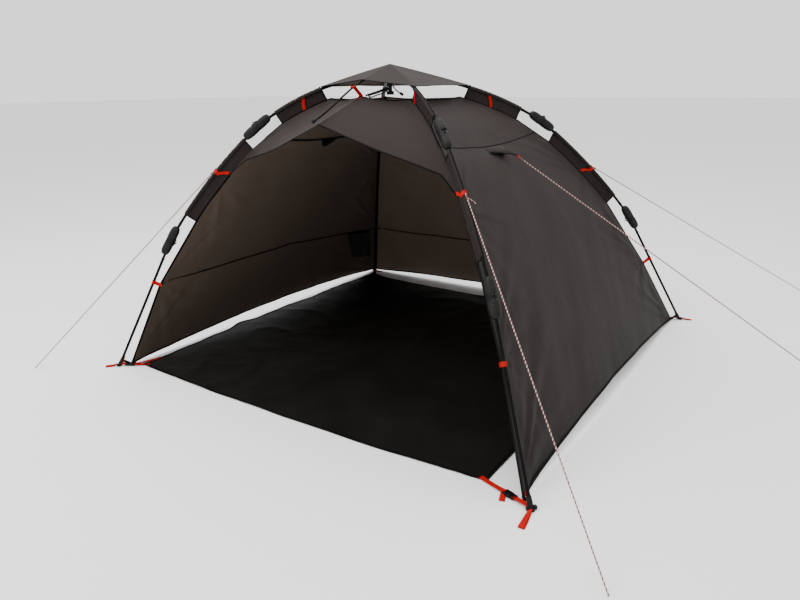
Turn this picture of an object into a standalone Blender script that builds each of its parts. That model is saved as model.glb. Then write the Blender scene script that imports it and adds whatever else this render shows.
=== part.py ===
"""A fishing tent: four jointed legs fold from a hub, and carry a cap, a roof with a front brow and three walls.

Metres, +Z up. The origin is on the ground at the centre of the square that the four feet stand on.
The opening faces -Y. The hub stands a little forward of the centre, so the rear legs are the longer ones.
"""

import bmesh
import bpy
from mathutils import Matrix, Vector

# Driving dimensions of the frame
HALF_SPAN = 1.10
HUB_Y = -0.275
HUB_PIN_RADIUS = 0.045
HUB_PIN_HEIGHT = 1.372
ELBOW_SHARES = (0.442, 0.765)
ELBOW_HEIGHTS = (1.150, 0.634)
UPPER_BOW = 0.042
MIDDLE_BOW = 0.022
POLE_RADIUS = 0.0065
FOOT_RADIUS = 0.012
FOOT_HEIGHT = 0.036

# Elbow pods
POD_LENGTH = 0.150
POD_HALF_WIDTH = 0.021
POD_HALF_DEPTH = 0.019
POD_REACH = 0.12
PIVOT_OFFSET = 0.0262
BARREL_RADIUS = 0.0045
BARREL_WIDTH = 0.008
PIN_RADIUS = 0.0018

# Hub
HUB_RADIUS = 0.026
HUB_TOP = 1.392
HUB_BOTTOM = 1.352
SPINDLE_BOTTOM = 1.285
CHEEK_RADIUS = 0.008
CHEEK_THICKNESS = 0.004
KNUCKLE_WIDTH = 0.008
HUB_PIN = 0.003
NECK_DISTANCE = 0.0125
NECK_SIZE = (0.0078, 0.009, 0.014)
SPINDLE_RADIUS = 0.009
GRIP_RADIUS = 0.017
GRIP_HEIGHT = 0.016
ARM_DISTANCE = 0.027
ARM_SIZE = (0.0166, 0.015, 0.018)
LINK_DISTANCE = 0.037
LINK_SIZE = (0.004, 0.0148, 0.016)

# Where the poles start and end, as levels
POLE_SPANS = ((0.0175, 0.97), (1.03, 1.97), (2.03, 2.985))
SHOE_LEAN = 0.008

# Fabric
CLOTH = 0.002
WEB = 0.052
CORNER_INSET = 0.056
HEM_HEIGHT = 0.006
HEM_RISE = 0.055
SEAM_SAG = 0.025
RING_LEVEL = 0.41
STRAP_LEVEL = 2.32
STRAP_LENGTH = 0.031
FRONT_GUY_LEVEL = 1.43
REAR_GUY_LEVEL = 1.50
CAP_APEX = 1.418
CAP_LEVEL = 0.46
CAP_LIFT = 0.0116
CAP_FRONT = Vector((0.0, -0.490, 1.358))
RING_FRONT = Vector((0.0, -0.500, 1.283))
PEAK = Vector((0.0, -0.793, 1.179))
PANEL_GAP = 0.0015
ROD_TIP = Vector((0.0, -0.814, 1.194))
ROD_BOW = 0.042
ROD_PIN_HEIGHT = 1.358
ROD_RADIUS = 0.004
BALL_RADIUS = 0.0085
SLEEVE_BORE = 0.0074
SLEEVE_WALL = 0.0018
UPPER_SLEEVE = (0.445, 0.83)
MIDDLE_SLEEVE = (1.12, 1.78)

# Ground and guy lines
SHEET_HALF_WIDTH = 0.955
SHEET_FRONT = -1.030
SHEET_BACK = 0.950
SHEET_THICKNESS = 0.002
WEBBING_WIDTH = 0.022
WEBBING_THICKNESS = 0.0025
BUCKLE_SIZE = (0.034, 0.012, 0.052)
BUCKLE_SHARE = 0.55
GUY_RADIUS = 0.002
FRONT_GUY_REACH = 1.30
REAR_GUY_REACH = 1.60
VENT_GUY_X = 2.10
VENT_GUY_Y = 0.20
VENT_GUY_BACK = 2.15
VENT_TOP = 1.064
VENT_LOW = 1.028
VENT_DEPTH = 0.058
VENT_HALF_WIDTH = 0.080
POCKET_SPAN = ((0.10, 0.69), (0.23, 0.84))

# A seated piece stands this far off its seat
SEAT = 0.0003

CORNERS = {
    "front_left": (-1, -1),
    "front_right": (1, -1),
    "rear_left": (-1, 1),
    "rear_right": (1, 1),
}

# Each side's legs, in the order in which its panels run
SIDES = {
    "right": ("front_right", "rear_right"),
    "back": ("rear_right", "rear_left"),
    "left": ("rear_left", "front_left"),
}

UP = Vector((0, 0, 1))
COLLECTION = bpy.data.collections.new("fishing_tent")


def clear_scene():
    """Take every object out of the file that the script starts in."""
    for item in list(bpy.data.objects):
        bpy.data.objects.remove(item, do_unlink=True)
    bpy.context.scene.collection.children.link(COLLECTION)


def material(name, colour, roughness, metallic=0.0):
    """A Principled material with one colour."""
    made = bpy.data.materials.new(name)
    made.use_nodes = True
    shader = made.node_tree.nodes["Principled BSDF"]
    shader.inputs["Base Color"].default_value = (*colour, 1.0)
    shader.inputs["Roughness"].default_value = roughness
    shader.inputs["Metallic"].default_value = metallic
    return made


def add_object(name, bm, finish):
    """Turn a bmesh into a named object."""
    mesh = bpy.data.meshes.new(name)
    bmesh.ops.recalc_face_normals(bm, faces=bm.faces)
    bm.to_mesh(mesh)
    bm.free()
    made = bpy.data.objects.new(name, mesh)
    COLLECTION.objects.link(made)
    mesh.materials.append(finish)
    return made


def frozen(item):
    """Replace an object by a mesh object that holds its evaluated shape."""
    bpy.context.view_layer.update()
    graph = bpy.context.evaluated_depsgraph_get()
    mesh = bpy.data.meshes.new_from_object(item.evaluated_get(graph))
    bm = bmesh.new()
    bm.from_mesh(mesh)
    bmesh.ops.remove_doubles(bm, verts=bm.verts, dist=0.00001)
    bm.to_mesh(mesh)
    bm.free()
    name, matrix = item.name, item.matrix_world.copy()
    bpy.data.objects.remove(item, do_unlink=True)
    made = bpy.data.objects.new(name, mesh)
    made.matrix_world = matrix
    COLLECTION.objects.link(made)
    return made


def combine(target, other, operation="UNION"):
    """Join another object to the target, or cut it away, and drop the other."""
    step = target.modifiers.new(operation.lower(), "BOOLEAN")
    step.operation = operation
    step.solver = "EXACT"
    step.object = other
    made = frozen(target)
    bpy.data.objects.remove(other, do_unlink=True)
    return made


def tube(name, points, radius, finish, resolution=2, caps=True):
    """A round bar along a list of points."""
    curve = bpy.data.curves.new(name, "CURVE")
    curve.dimensions = "3D"
    curve.bevel_depth = radius
    curve.bevel_resolution = resolution
    curve.use_fill_caps = caps
    spline = curve.splines.new("POLY")
    spline.points.add(len(points) - 1)
    for slot, point in zip(spline.points, points):
        slot.co = (*point, 1.0)
    curve.materials.append(finish)
    made = bpy.data.objects.new(name, curve)
    COLLECTION.objects.link(made)
    return frozen(made)


def rod(name, start, end, radius, finish, segments=12):
    """A straight cylinder between two points."""
    start, end = Vector(start), Vector(end)
    along = end - start
    turn = along.to_track_quat("Z", "Y").to_matrix().to_4x4()
    bm = bmesh.new()
    bmesh.ops.create_cone(
        bm,
        cap_ends=True,
        segments=segments,
        radius1=radius,
        radius2=radius,
        depth=along.length,
        matrix=Matrix.Translation((start + end) / 2) @ turn,
    )
    return add_object(name, bm, finish)


def block(name, centre, size, turn, finish):
    """A box of a given size, turned by a rotation matrix."""
    bm = bmesh.new()
    matrix = Matrix.Translation(centre) @ turn.to_4x4() @ Matrix.Diagonal((*size, 1.0))
    bmesh.ops.create_cube(bm, size=1.0, matrix=matrix)
    return add_object(name, bm, finish)


def sheet(name, place, columns, rows, finish, thickness=CLOTH):
    """A thin shell whose middle surface is place(u, v), with u and v from 0 to 1."""
    bm = bmesh.new()
    bmesh.ops.create_grid(bm, x_segments=columns, y_segments=rows, size=0.5)
    for vert in bm.verts:
        vert.co = place(vert.co.x + 0.5, vert.co.y + 0.5)
    made = add_object(name, bm, finish)
    shell = made.modifiers.new("thickness", "SOLIDIFY")
    shell.thickness = thickness
    shell.offset = 0.0
    shell.use_even_offset = True
    return frozen(made)


class Leg:
    """The line of one leg in its own upright plane through the hub's axis."""

    def __init__(self, corner):
        sign_x, sign_y = CORNERS[corner]
        foot = Vector((sign_x * HALF_SPAN, sign_y * HALF_SPAN - HUB_Y, 0.0))
        self.corner = corner
        self.reach = foot.length
        self.out = foot.normalized()
        self.side = UP.cross(self.out)
        self.knots = [Vector((HUB_PIN_RADIUS, HUB_PIN_HEIGHT))]
        for share, height in zip(ELBOW_SHARES, ELBOW_HEIGHTS):
            self.knots.append(Vector((share * self.reach, height)))
        self.knots.append(Vector((self.reach, 0.0)))

    def world(self, flat):
        """The point in space of a (radius, height) point of the leg's plane."""
        return Vector((0, HUB_Y, 0)) + self.turn(flat)

    def turn(self, flat):
        """The direction in space of a direction in the leg's plane."""
        return self.out * flat.x + UP * flat.y

    def along(self, index):
        """The unit direction of a segment's chord, hub end first."""
        return (self.knots[index + 1] - self.knots[index]).normalized()

    def outward(self, index):
        """The unit normal of a segment's chord, away from the tent."""
        step = self.along(index)
        return Vector((-step.y, step.x))

    def mitre(self, index):
        """The outward unit normal at a knot, between those of the two segments that meet."""
        first = self.outward(max(index - 1, 0))
        second = self.outward(min(index, 2))
        return (first + second).normalized()

    def pole(self, level):
        """The pole's centre line: 0 at the hub, 1 and 2 at the elbows, 3 at the foot."""
        index = min(int(level), 2)
        share = level - index
        bow = (UPPER_BOW, MIDDLE_BOW, 0.0)[index]
        flat = self.knots[index].lerp(self.knots[index + 1], share)
        return flat + self.outward(index) * bow * 4 * share * (1 - share)

    def web_edge(self, level):
        """The inner edge of a sleeve's web."""
        index = min(int(level), 2)
        normal = self.mitre(index).lerp(self.mitre(index + 1), level - index).normalized()
        return self.pole(level) - normal * WEB

    def seam(self, level):
        """The corner seam of the fabric: along the webs, and taut between them, the strap and the foot."""
        hold = self.pole(STRAP_LEVEL) - self.outward(2) * STRAP_LENGTH
        corner = Vector((self.reach - CORNER_INSET, HEM_HEIGHT))
        above, below = UPPER_SLEEVE[1], MIDDLE_SLEEVE[0]
        runs = (
            (above, below, self.web_edge(above), self.web_edge(below)),
            (MIDDLE_SLEEVE[1], STRAP_LEVEL, self.web_edge(MIDDLE_SLEEVE[1]), hold),
            (STRAP_LEVEL, 3, hold, corner),
        )
        for start, end, first, last in runs:
            if start < level <= end:
                return first.lerp(last, (level - start) / (end - start))
        return self.web_edge(level)

    def points(self, line, start, end, count):
        """Points in space along one of the leg's lines."""
        steps = (start + (end - start) * n / (count - 1) for n in range(count))
        return [self.world(line(level)) for level in steps]

    def pivot(self, index):
        """The elbow's hinge point: outside the pole at the upper elbow, inside it at the lower one."""
        sign = 1 if index == 1 else -1
        return self.knots[index] + self.mitre(index) * PIVOT_OFFSET * sign


def barrel(name, leg, flat, centre, width, radius, finish, bore=0.0):
    """A hinge barrel across the leg's plane, at a distance from that plane."""
    middle = leg.world(flat) + leg.side * centre
    half = leg.side * width / 2
    made = rod(name, middle - half, middle + half, radius, finish)
    if bore:
        hole = rod("bore", middle - half * 2, middle + half * 2, bore, finish)
        made = combine(made, hole, "DIFFERENCE")
    return made


def square_to(leg, direction):
    """A rotation whose axes are the leg's side, the upright across a direction, and the direction."""
    return Matrix((leg.side, direction.cross(leg.side), direction)).transposed()


def pod_half(leg, index, upper, finish):
    """One half of an elbow pod, on the upper or the lower side of the hinge, with its barrels."""
    step = (leg.pole(index + POD_REACH) - leg.pole(index - POD_REACH)).normalized()
    centre = leg.world(leg.knots[index])
    turn = square_to(leg, leg.turn(step))
    size = (POD_HALF_DEPTH, POD_HALF_WIDTH, POD_LENGTH / 2)
    bm = bmesh.new()
    bmesh.ops.create_uvsphere(bm, u_segments=12, v_segments=10, radius=1.0)
    for vert in bm.verts:
        share = min(abs(vert.co.z), 1.0)
        round_off = (1 - share**2) ** 0.5
        if round_off > 0.001:
            fuller = ((1 - share**5) / (1 - share**2)) ** 0.5
            vert.co = (vert.co.x * fuller, vert.co.y * fuller, vert.co.z)
    matrix = Matrix.Translation(centre) @ turn.to_4x4() @ Matrix.Diagonal((*size, 1.0))
    bmesh.ops.transform(bm, matrix=matrix, verts=bm.verts)
    split = leg.mitre(index)
    across = leg.turn(Vector((split.y, -split.x)))
    normal = across if upper else -across
    geometry = list(bm.verts) + list(bm.edges) + list(bm.faces)
    cut = bmesh.ops.bisect_plane(
        bm,
        geom=geometry,
        plane_co=centre - normal * SEAT,
        plane_no=normal,
        clear_outer=True,
    )
    edges = [item for item in cut["geom_cut"] if isinstance(item, bmesh.types.BMEdge)]
    bmesh.ops.contextual_create(bm, geom=edges)
    made = add_object("pod", bm, finish)
    pivot = leg.pivot(index)
    offset = (BARREL_WIDTH + BARREL_WIDTH * 0.6) / 2 + SEAT
    places = [(-offset, BARREL_WIDTH * 0.6), (offset, BARREL_WIDTH * 0.6)]
    if not upper:
        places = [(0.0, BARREL_WIDTH)]
    inward = (leg.knots[index] - pivot).normalized()
    back = -step if upper else step
    for place, width in places:
        bore = 0.0 if upper else PIN_RADIUS + SEAT
        ring = barrel("barrel", leg, pivot, place, width, BARREL_RADIUS, finish, bore)
        spot = pivot + back * 0.0105 + inward * 0.0035
        leaf = block(
            "leaf",
            leg.world(spot) + leg.side * place,
            (width * 0.98, 0.0065, 0.014),
            turn,
            finish,
        )
        made = combine(made, combine(ring, leaf))
    if upper:
        pin = barrel("pin", leg, pivot, 0.0, BARREL_WIDTH + 0.004, PIN_RADIUS, finish)
        made = combine(made, pin)
    return made


def leg_segment(leg, index, finish):
    """One jointed length of a leg: its pole with the pod halves, knuckle or foot at its ends."""
    names = ("upper_pole", "middle_pole", "lower_pole")
    start, end = POLE_SPANS[index]
    count = 9 if index < 2 else 2
    made = tube(
        f"{names[index]}_{leg.corner}",
        leg.points(leg.pole, start, end, count),
        POLE_RADIUS,
        finish,
    )
    name = made.name
    if index == 0:
        knot = leg.knots[0]
        ring = barrel(
            "knuckle", leg, knot, 0.0, KNUCKLE_WIDTH, CHEEK_RADIUS - SEAT, finish, HUB_PIN + SEAT
        )
        step = leg.along(0)
        turn = square_to(leg, leg.turn(step))
        neck = block("neck", leg.world(knot + step * NECK_DISTANCE), NECK_SIZE, turn, finish)
        made = combine(combine(made, ring), neck)
    if index > 0:
        made = combine(made, pod_half(leg, index, False, finish))
    if index < 2:
        made = combine(made, pod_half(leg, index + 1, True, finish))
    else:
        foot = leg.world(leg.knots[3])
        top = foot + UP * FOOT_HEIGHT - leg.out * SHOE_LEAN
        shoe = rod("shoe", foot, top, FOOT_RADIUS, finish)
        side = FOOT_RADIUS * 8
        under = foot - UP * side / 2
        floor = block("floor", under, (side, side, side), Matrix.Identity(3), finish)
        made = combine(combine(made, shoe), floor, "DIFFERENCE")
    made.name = name
    return made


def sleeve(leg, span, name, finish):
    """A pole sleeve: a tunnel round the pole and the web that joins it to the corner seam."""
    count = 7
    route = leg.points(leg.pole, span[0], span[1], count)
    tunnel = tube("tunnel", route, SLEEVE_BORE, finish, resolution=4, caps=False)
    wall = tunnel.modifiers.new("wall", "SOLIDIFY")
    wall.thickness = SLEEVE_WALL
    wall.offset = 1.0
    tunnel = frozen(tunnel)

    def web_point(u, v):
        """A point of the web: u across it from the pole, v along the pole."""
        level = span[0] + (span[1] - span[0]) * v
        outer = leg.pole(level)
        inner = leg.seam(level)
        inward = (inner - outer).normalized()
        near = outer + inward * (SLEEVE_BORE + SLEEVE_WALL * 0.5)
        far = inner - inward * (CLOTH * 0.25)
        return leg.world(near.lerp(far, u))

    web = sheet("web", web_point, 1, count - 1, finish, CLOTH * 0.8)
    made = combine(tunnel, web)
    made.name = f"{name}_{leg.corner}"
    return made


def ruled(first, second, start, end):
    """A surface that spans two legs' corner seams, a little short of both."""

    def place(u, v):
        """A point of the panel: u from the first leg to the second, v down the seams."""
        level = start + (end - start) * v
        a = first.world(first.seam(level))
        b = second.world(second.seam(level))
        share = PANEL_GAP / (b - a).length
        point = a.lerp(b, share + (1 - 2 * share) * u)
        arch = 4 * u * (1 - u)
        if level <= 2:
            fade = max(0.0, 1 - abs(level - 1) / 0.55)
            point.z -= SEAM_SAG * arch * fade
        else:
            point.z += HEM_RISE * arch * (level - 2) ** 2
        return point

    return place


def brow_half(leg, start, end):
    """Half of the front roof: from a front leg's corner seam to the ridge that the brow rod holds."""

    def place(u, v):
        """A point of the brow: u from the leg to the ridge, v down to the front edge."""
        level = start + (end - start) * v
        a = leg.world(leg.seam(level))
        b = RING_FRONT.lerp(PEAK, v)
        share = PANEL_GAP / (b - a).length
        return a.lerp(b, share + (1 - 2 * share) * u)

    return place


def hub_clevis(hub, leg_out, side, height, finish):
    """Add one pair of cheeks with its pin to the hub."""
    centre = Vector((0, HUB_Y, height))
    turn = Matrix((side, UP, leg_out)).transposed()
    arm = block("arm", centre + leg_out * ARM_DISTANCE, ARM_SIZE, turn, finish)
    hub = combine(hub, arm)
    for sign in (-1, 1):
        offset = side * sign * (KNUCKLE_WIDTH / 2 + SEAT + CHEEK_THICKNESS / 2)
        middle = centre + leg_out * HUB_PIN_RADIUS + offset
        half = side * CHEEK_THICKNESS / 2
        cheek = rod("cheek", middle - half, middle + half, CHEEK_RADIUS, finish)
        hub = combine(hub, cheek)
        link = block("link", centre + leg_out * LINK_DISTANCE + offset, LINK_SIZE, turn, finish)
        hub = combine(hub, link)
    half = side * (KNUCKLE_WIDTH / 2 + CHEEK_THICKNESS * 0.7)
    middle = centre + leg_out * HUB_PIN_RADIUS
    return combine(hub, rod("pin", middle - half, middle + half, HUB_PIN, finish))


def build_hub(finish):
    """The hub under the cap: a drum with five clevises, a spindle and a grip below it."""
    axis = Vector((0, HUB_Y, 0))
    hub = rod("hub", axis + UP * HUB_BOTTOM, axis + UP * HUB_TOP, HUB_RADIUS, finish)
    for leg in LEGS.values():
        hub = hub_clevis(hub, leg.out, leg.side, HUB_PIN_HEIGHT, finish)
    hub = hub_clevis(hub, Vector((0, -1, 0)), Vector((1, 0, 0)), ROD_PIN_HEIGHT, finish)
    top = axis + UP * (HUB_BOTTOM + HUB_TOP) / 2
    low = axis + UP * SPINDLE_BOTTOM
    hub = combine(hub, rod("spindle", top, low, SPINDLE_RADIUS, finish))
    hub = combine(hub, rod("grip", low, low + UP * GRIP_HEIGHT, GRIP_RADIUS, finish))
    hub.name = "hub"


def build_brow_rod(finish):
    """The rod that holds the brow forward: bowed most near the hub, with a ball at its tip."""
    start = Vector((0, HUB_Y - HUB_PIN_RADIUS, ROD_PIN_HEIGHT))
    points = []
    for n in range(17):
        share = 0.02 + 0.98 * n / 16
        point = start.lerp(ROD_TIP, share)
        point.z += ROD_BOW * 27 / 4 * share * (1 - share) ** 2
        points.append(point)
    made = tube("brow_rod", points, ROD_RADIUS, finish)
    side = Vector((1, 0, 0))
    half = side * KNUCKLE_WIDTH / 2
    ring = rod("knuckle", start - half, start + half, CHEEK_RADIUS - SEAT, finish)
    hole = rod("bore", start - half * 2, start + half * 2, HUB_PIN + SEAT, finish)
    ring = combine(ring, hole, "DIFFERENCE")
    along = (points[1] - start).normalized()
    turn = Matrix((side, along.cross(side), along)).transposed()
    neck = block("neck", start + along * NECK_DISTANCE, NECK_SIZE, turn, finish)
    made = combine(combine(made, ring), neck)
    bm = bmesh.new()
    bmesh.ops.create_uvsphere(
        bm, u_segments=10, v_segments=8, radius=BALL_RADIUS, matrix=Matrix.Translation(ROD_TIP)
    )
    made = combine(made, add_object("ball", bm, finish))
    made.name = "brow_rod"


def build_cap(finish):
    """The vent cap: a shallow shell whose corners rest over the poles and whose front clears the rod."""
    corners = ("front_right", "rear_right", "rear_left", "front_left")
    bm = bmesh.new()
    verts = [bm.verts.new(CAP_FRONT)]
    for name in corners:
        leg = LEGS[name]
        verts.append(bm.verts.new(leg.world(leg.pole(CAP_LEVEL)) + UP * CAP_LIFT))
    face = bm.faces.new(verts)
    peak = bmesh.ops.poke(bm, faces=[face])["verts"][0]
    peak.co = Vector((0, HUB_Y, CAP_APEX))
    cap = add_object("cap", bm, finish)
    shell = cap.modifiers.new("thickness", "SOLIDIFY")
    shell.thickness = CLOTH
    shell.offset = 0.0
    frozen(cap)


def build_roof_and_walls(finish):
    """The brow halves, three roof panels and three walls, cut to meet at their seams."""
    joint = PANEL_GAP * 0.6
    for side, (first, second) in SIDES.items():
        a, b = LEGS[first], LEGS[second]
        sheet(f"roof_{side}", ruled(a, b, RING_LEVEL, 1 - joint), 6, 7, finish)
        sheet(f"wall_{side}", ruled(a, b, 1 + joint, 3), 8, 14, finish)
    for half in ("left", "right"):
        place = brow_half(LEGS[f"front_{half}"], RING_LEVEL, FRONT_GUY_LEVEL)
        sheet(f"brow_{half}", place, 5, 10, finish)


def build_ground_pieces(sheet_finish, strap_finish):
    """The groundsheet, and at each corner the buckled strap that ties it to the foot."""
    depth = SHEET_BACK - SHEET_FRONT
    centre = Vector((0, (SHEET_BACK + SHEET_FRONT) / 2, SHEET_THICKNESS / 2))
    size = (2 * SHEET_HALF_WIDTH, depth, SHEET_THICKNESS)
    block("groundsheet", centre, size, Matrix.Identity(3), sheet_finish)
    for corner, leg in LEGS.items():
        sign_x, sign_y = CORNERS[corner]
        edge = SHEET_FRONT if sign_y < 0 else SHEET_BACK
        near = Vector((sign_x * (SHEET_HALF_WIDTH - 0.03), edge - sign_y * 0.03, 0.004))
        foot = leg.world(leg.knots[3])
        way = Vector((foot.x - near.x, foot.y - near.y, 0.0))
        far = near + way * (1 - (FOOT_RADIUS + 0.0016) / way.length)
        along = way.normalized()
        turn = Matrix((along.cross(UP), UP, along)).transposed()
        size = (WEBBING_WIDTH, WEBBING_THICKNESS, (far - near).length)
        strap = block("strap", (near + far) / 2, size, turn, strap_finish)
        spot = near.lerp(far, BUCKLE_SHARE) + UP * BUCKLE_SIZE[1] / 2
        buckle = block("buckle", spot, BUCKLE_SIZE, turn, strap_finish)
        strap = combine(strap, buckle)
        strap.name = f"corner_strap_{corner}"


def wall_point(side, share, height):
    """The point on a wall's middle surface at a share of its width and a height."""
    a, b = (LEGS[name] for name in SIDES[side])
    place = ruled(a, b, 1.0, 3.0)
    low, high = 0.0, 1.0
    for _ in range(30):
        middle = (low + high) / 2
        if place(share, middle).z > height:
            low = middle
        else:
            high = middle
    return place(share, low)


def build_guys_and_hoods(line_finish, hood_finish):
    """The vent hoods, and the guy lines that run from them and from the poles to the ground."""
    routes = {}
    stand_off = SLEEVE_BORE + SLEEVE_WALL + GUY_RADIUS + SEAT
    for corner, leg in LEGS.items():
        front = corner.startswith("front")
        reach = FRONT_GUY_REACH if front else REAR_GUY_REACH
        level = FRONT_GUY_LEVEL if front else REAR_GUY_LEVEL
        end = leg.world(Vector((leg.reach * reach, 0.0)))
        start = leg.world(leg.pole(level) + leg.outward(1) * stand_off)
        routes[corner] = (start, end)
    vents = {
        "right": (Vector((VENT_GUY_X, VENT_GUY_Y, 0)), Vector((1, 0, 0))),
        "left": (Vector((-VENT_GUY_X, VENT_GUY_Y, 0)), Vector((-1, 0, 0))),
        "back": (Vector((0, VENT_GUY_BACK, 0)), Vector((0, 1, 0))),
    }
    for side, (end, out) in vents.items():
        top = wall_point(side, 0.5, VENT_TOP)
        tip = wall_point(side, 0.5, VENT_LOW) + out * VENT_DEPTH
        hood = vent_hood(bpy.data.objects[f"wall_{side}"], top, tip, out, hood_finish)
        hood.name = f"vent_hood_{side}"
        routes[f"vent_{side}"] = (tip + (end - tip).normalized() * SEAT * 2, end)
    for name, (start, end) in routes.items():
        along = (end - start).normalized()
        low = end - along * (GUY_RADIUS / -along.z)
        rod(f"guy_line_{name}", start, low, GUY_RADIUS, line_finish, segments=8)


def vent_hood(wall, top, tip, out, finish):
    """A small sewn hood over a vent slot: a three-sided shell that stands off the wall."""
    across = out.cross(UP) * VENT_HALF_WIDTH
    bm = bmesh.new()
    verts = [bm.verts.new(tip)]
    for edge in (across, -across):
        _, spot, normal, _ = wall.closest_point_on_mesh(top + edge + out * VENT_DEPTH / 4)
        verts.append(bm.verts.new(spot + normal * (SEAT + CLOTH * 0.5)))
    bm.faces.new(verts)
    made = add_object("hood", bm, finish)
    shell = made.modifiers.new("thickness", "SOLIDIFY")
    shell.thickness = CLOTH * 0.75
    shell.offset = 0.0
    return frozen(made)


def build_pocket(finish):
    """The mesh pocket on the inside of the left wall, near its rear corner."""
    wall = bpy.data.objects["wall_left"]
    place_on_wall = ruled(LEGS["rear_left"], LEGS["front_left"], 1.0, 3.0)
    (left, top), (right, bottom) = POCKET_SPAN

    def place(u, v):
        """A point of the pocket's middle surface, seated on the wall's inner face."""
        point = place_on_wall(left + (right - left) * u, top + (bottom - top) * v)
        _, spot, normal, _ = wall.closest_point_on_mesh(point + Vector((0.01, 0, 0)))
        return spot + normal * (CLOTH / 2 + SEAT * 1.5)

    sheet("mesh_pocket", place, 3, 3, finish)


clear_scene()
FABRIC = material("tent_fabric", (0.075, 0.062, 0.058), 0.8)
POLE = material("pole_black", (0.02, 0.02, 0.02), 0.4)
PLASTIC = material("pod_plastic", (0.03, 0.03, 0.03), 0.55)
GROUND = material("groundsheet_black", (0.015, 0.014, 0.013), 0.45)
WEBBING = material("red_webbing", (0.55, 0.02, 0.02), 0.7)
CORD = material("guy_cord", (0.6, 0.08, 0.07), 0.7)
MESH = material("pocket_mesh", (0.01, 0.01, 0.01), 0.8)

LEGS = {name: Leg(name) for name in CORNERS}

for tent_leg in LEGS.values():
    for part_index in range(3):
        leg_segment(tent_leg, part_index, POLE)
    sleeve(tent_leg, UPPER_SLEEVE, "upper_sleeve", FABRIC)
    sleeve(tent_leg, MIDDLE_SLEEVE, "middle_sleeve", FABRIC)
build_hub(PLASTIC)
build_brow_rod(POLE)
build_cap(FABRIC)
build_roof_and_walls(FABRIC)
build_ground_pieces(GROUND, WEBBING)
build_guys_and_hoods(CORD, FABRIC)
build_pocket(MESH)
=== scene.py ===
"""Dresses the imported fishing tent: cloth, webbing, poles, elbow housings, crown fittings and ground gear.

Metres, +Z up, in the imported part's own axes. The opening faces -Y and the crown hub stands forward of the
middle. A level runs down a leg: 0 at the hub, 1 and 2 at the elbows, 3 at the foot.
"""

import logging
import math
from collections.abc import Callable, Sequence
from dataclasses import dataclass, field
from enum import Enum

import bmesh
import bpy
from mathutils import Matrix, Vector, noise


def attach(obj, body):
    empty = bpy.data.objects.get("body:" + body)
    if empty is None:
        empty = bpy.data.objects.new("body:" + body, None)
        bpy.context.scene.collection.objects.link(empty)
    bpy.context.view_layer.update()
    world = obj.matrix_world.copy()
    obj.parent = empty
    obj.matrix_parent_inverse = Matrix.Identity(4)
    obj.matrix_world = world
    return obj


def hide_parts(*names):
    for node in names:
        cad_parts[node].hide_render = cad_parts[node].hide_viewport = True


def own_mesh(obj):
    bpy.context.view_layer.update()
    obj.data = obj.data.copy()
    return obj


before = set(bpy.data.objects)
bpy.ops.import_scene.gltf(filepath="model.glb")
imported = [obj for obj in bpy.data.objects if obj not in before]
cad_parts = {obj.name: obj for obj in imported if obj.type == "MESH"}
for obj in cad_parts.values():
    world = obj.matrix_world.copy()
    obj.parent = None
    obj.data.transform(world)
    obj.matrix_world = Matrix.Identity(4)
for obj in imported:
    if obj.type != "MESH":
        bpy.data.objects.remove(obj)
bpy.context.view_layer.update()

logging.basicConfig(level=logging.INFO, format="%(message)s")
LOG = logging.getLogger("tent")
UP = Vector((0.0, 0.0, 1.0))
# the scale at which a wave texture has one band to a unit
BAND_SCALE = 2 * math.pi / 20.0
Flat = tuple[float, float]
Colour = tuple[float, float, float]


def smooth(value: float) -> float:
    """Ease a value from 0 to 1, clamped at both ends."""
    value = min(max(value, 0.0), 1.0)
    return value * value * (3 - 2 * value)


# finishes


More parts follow.
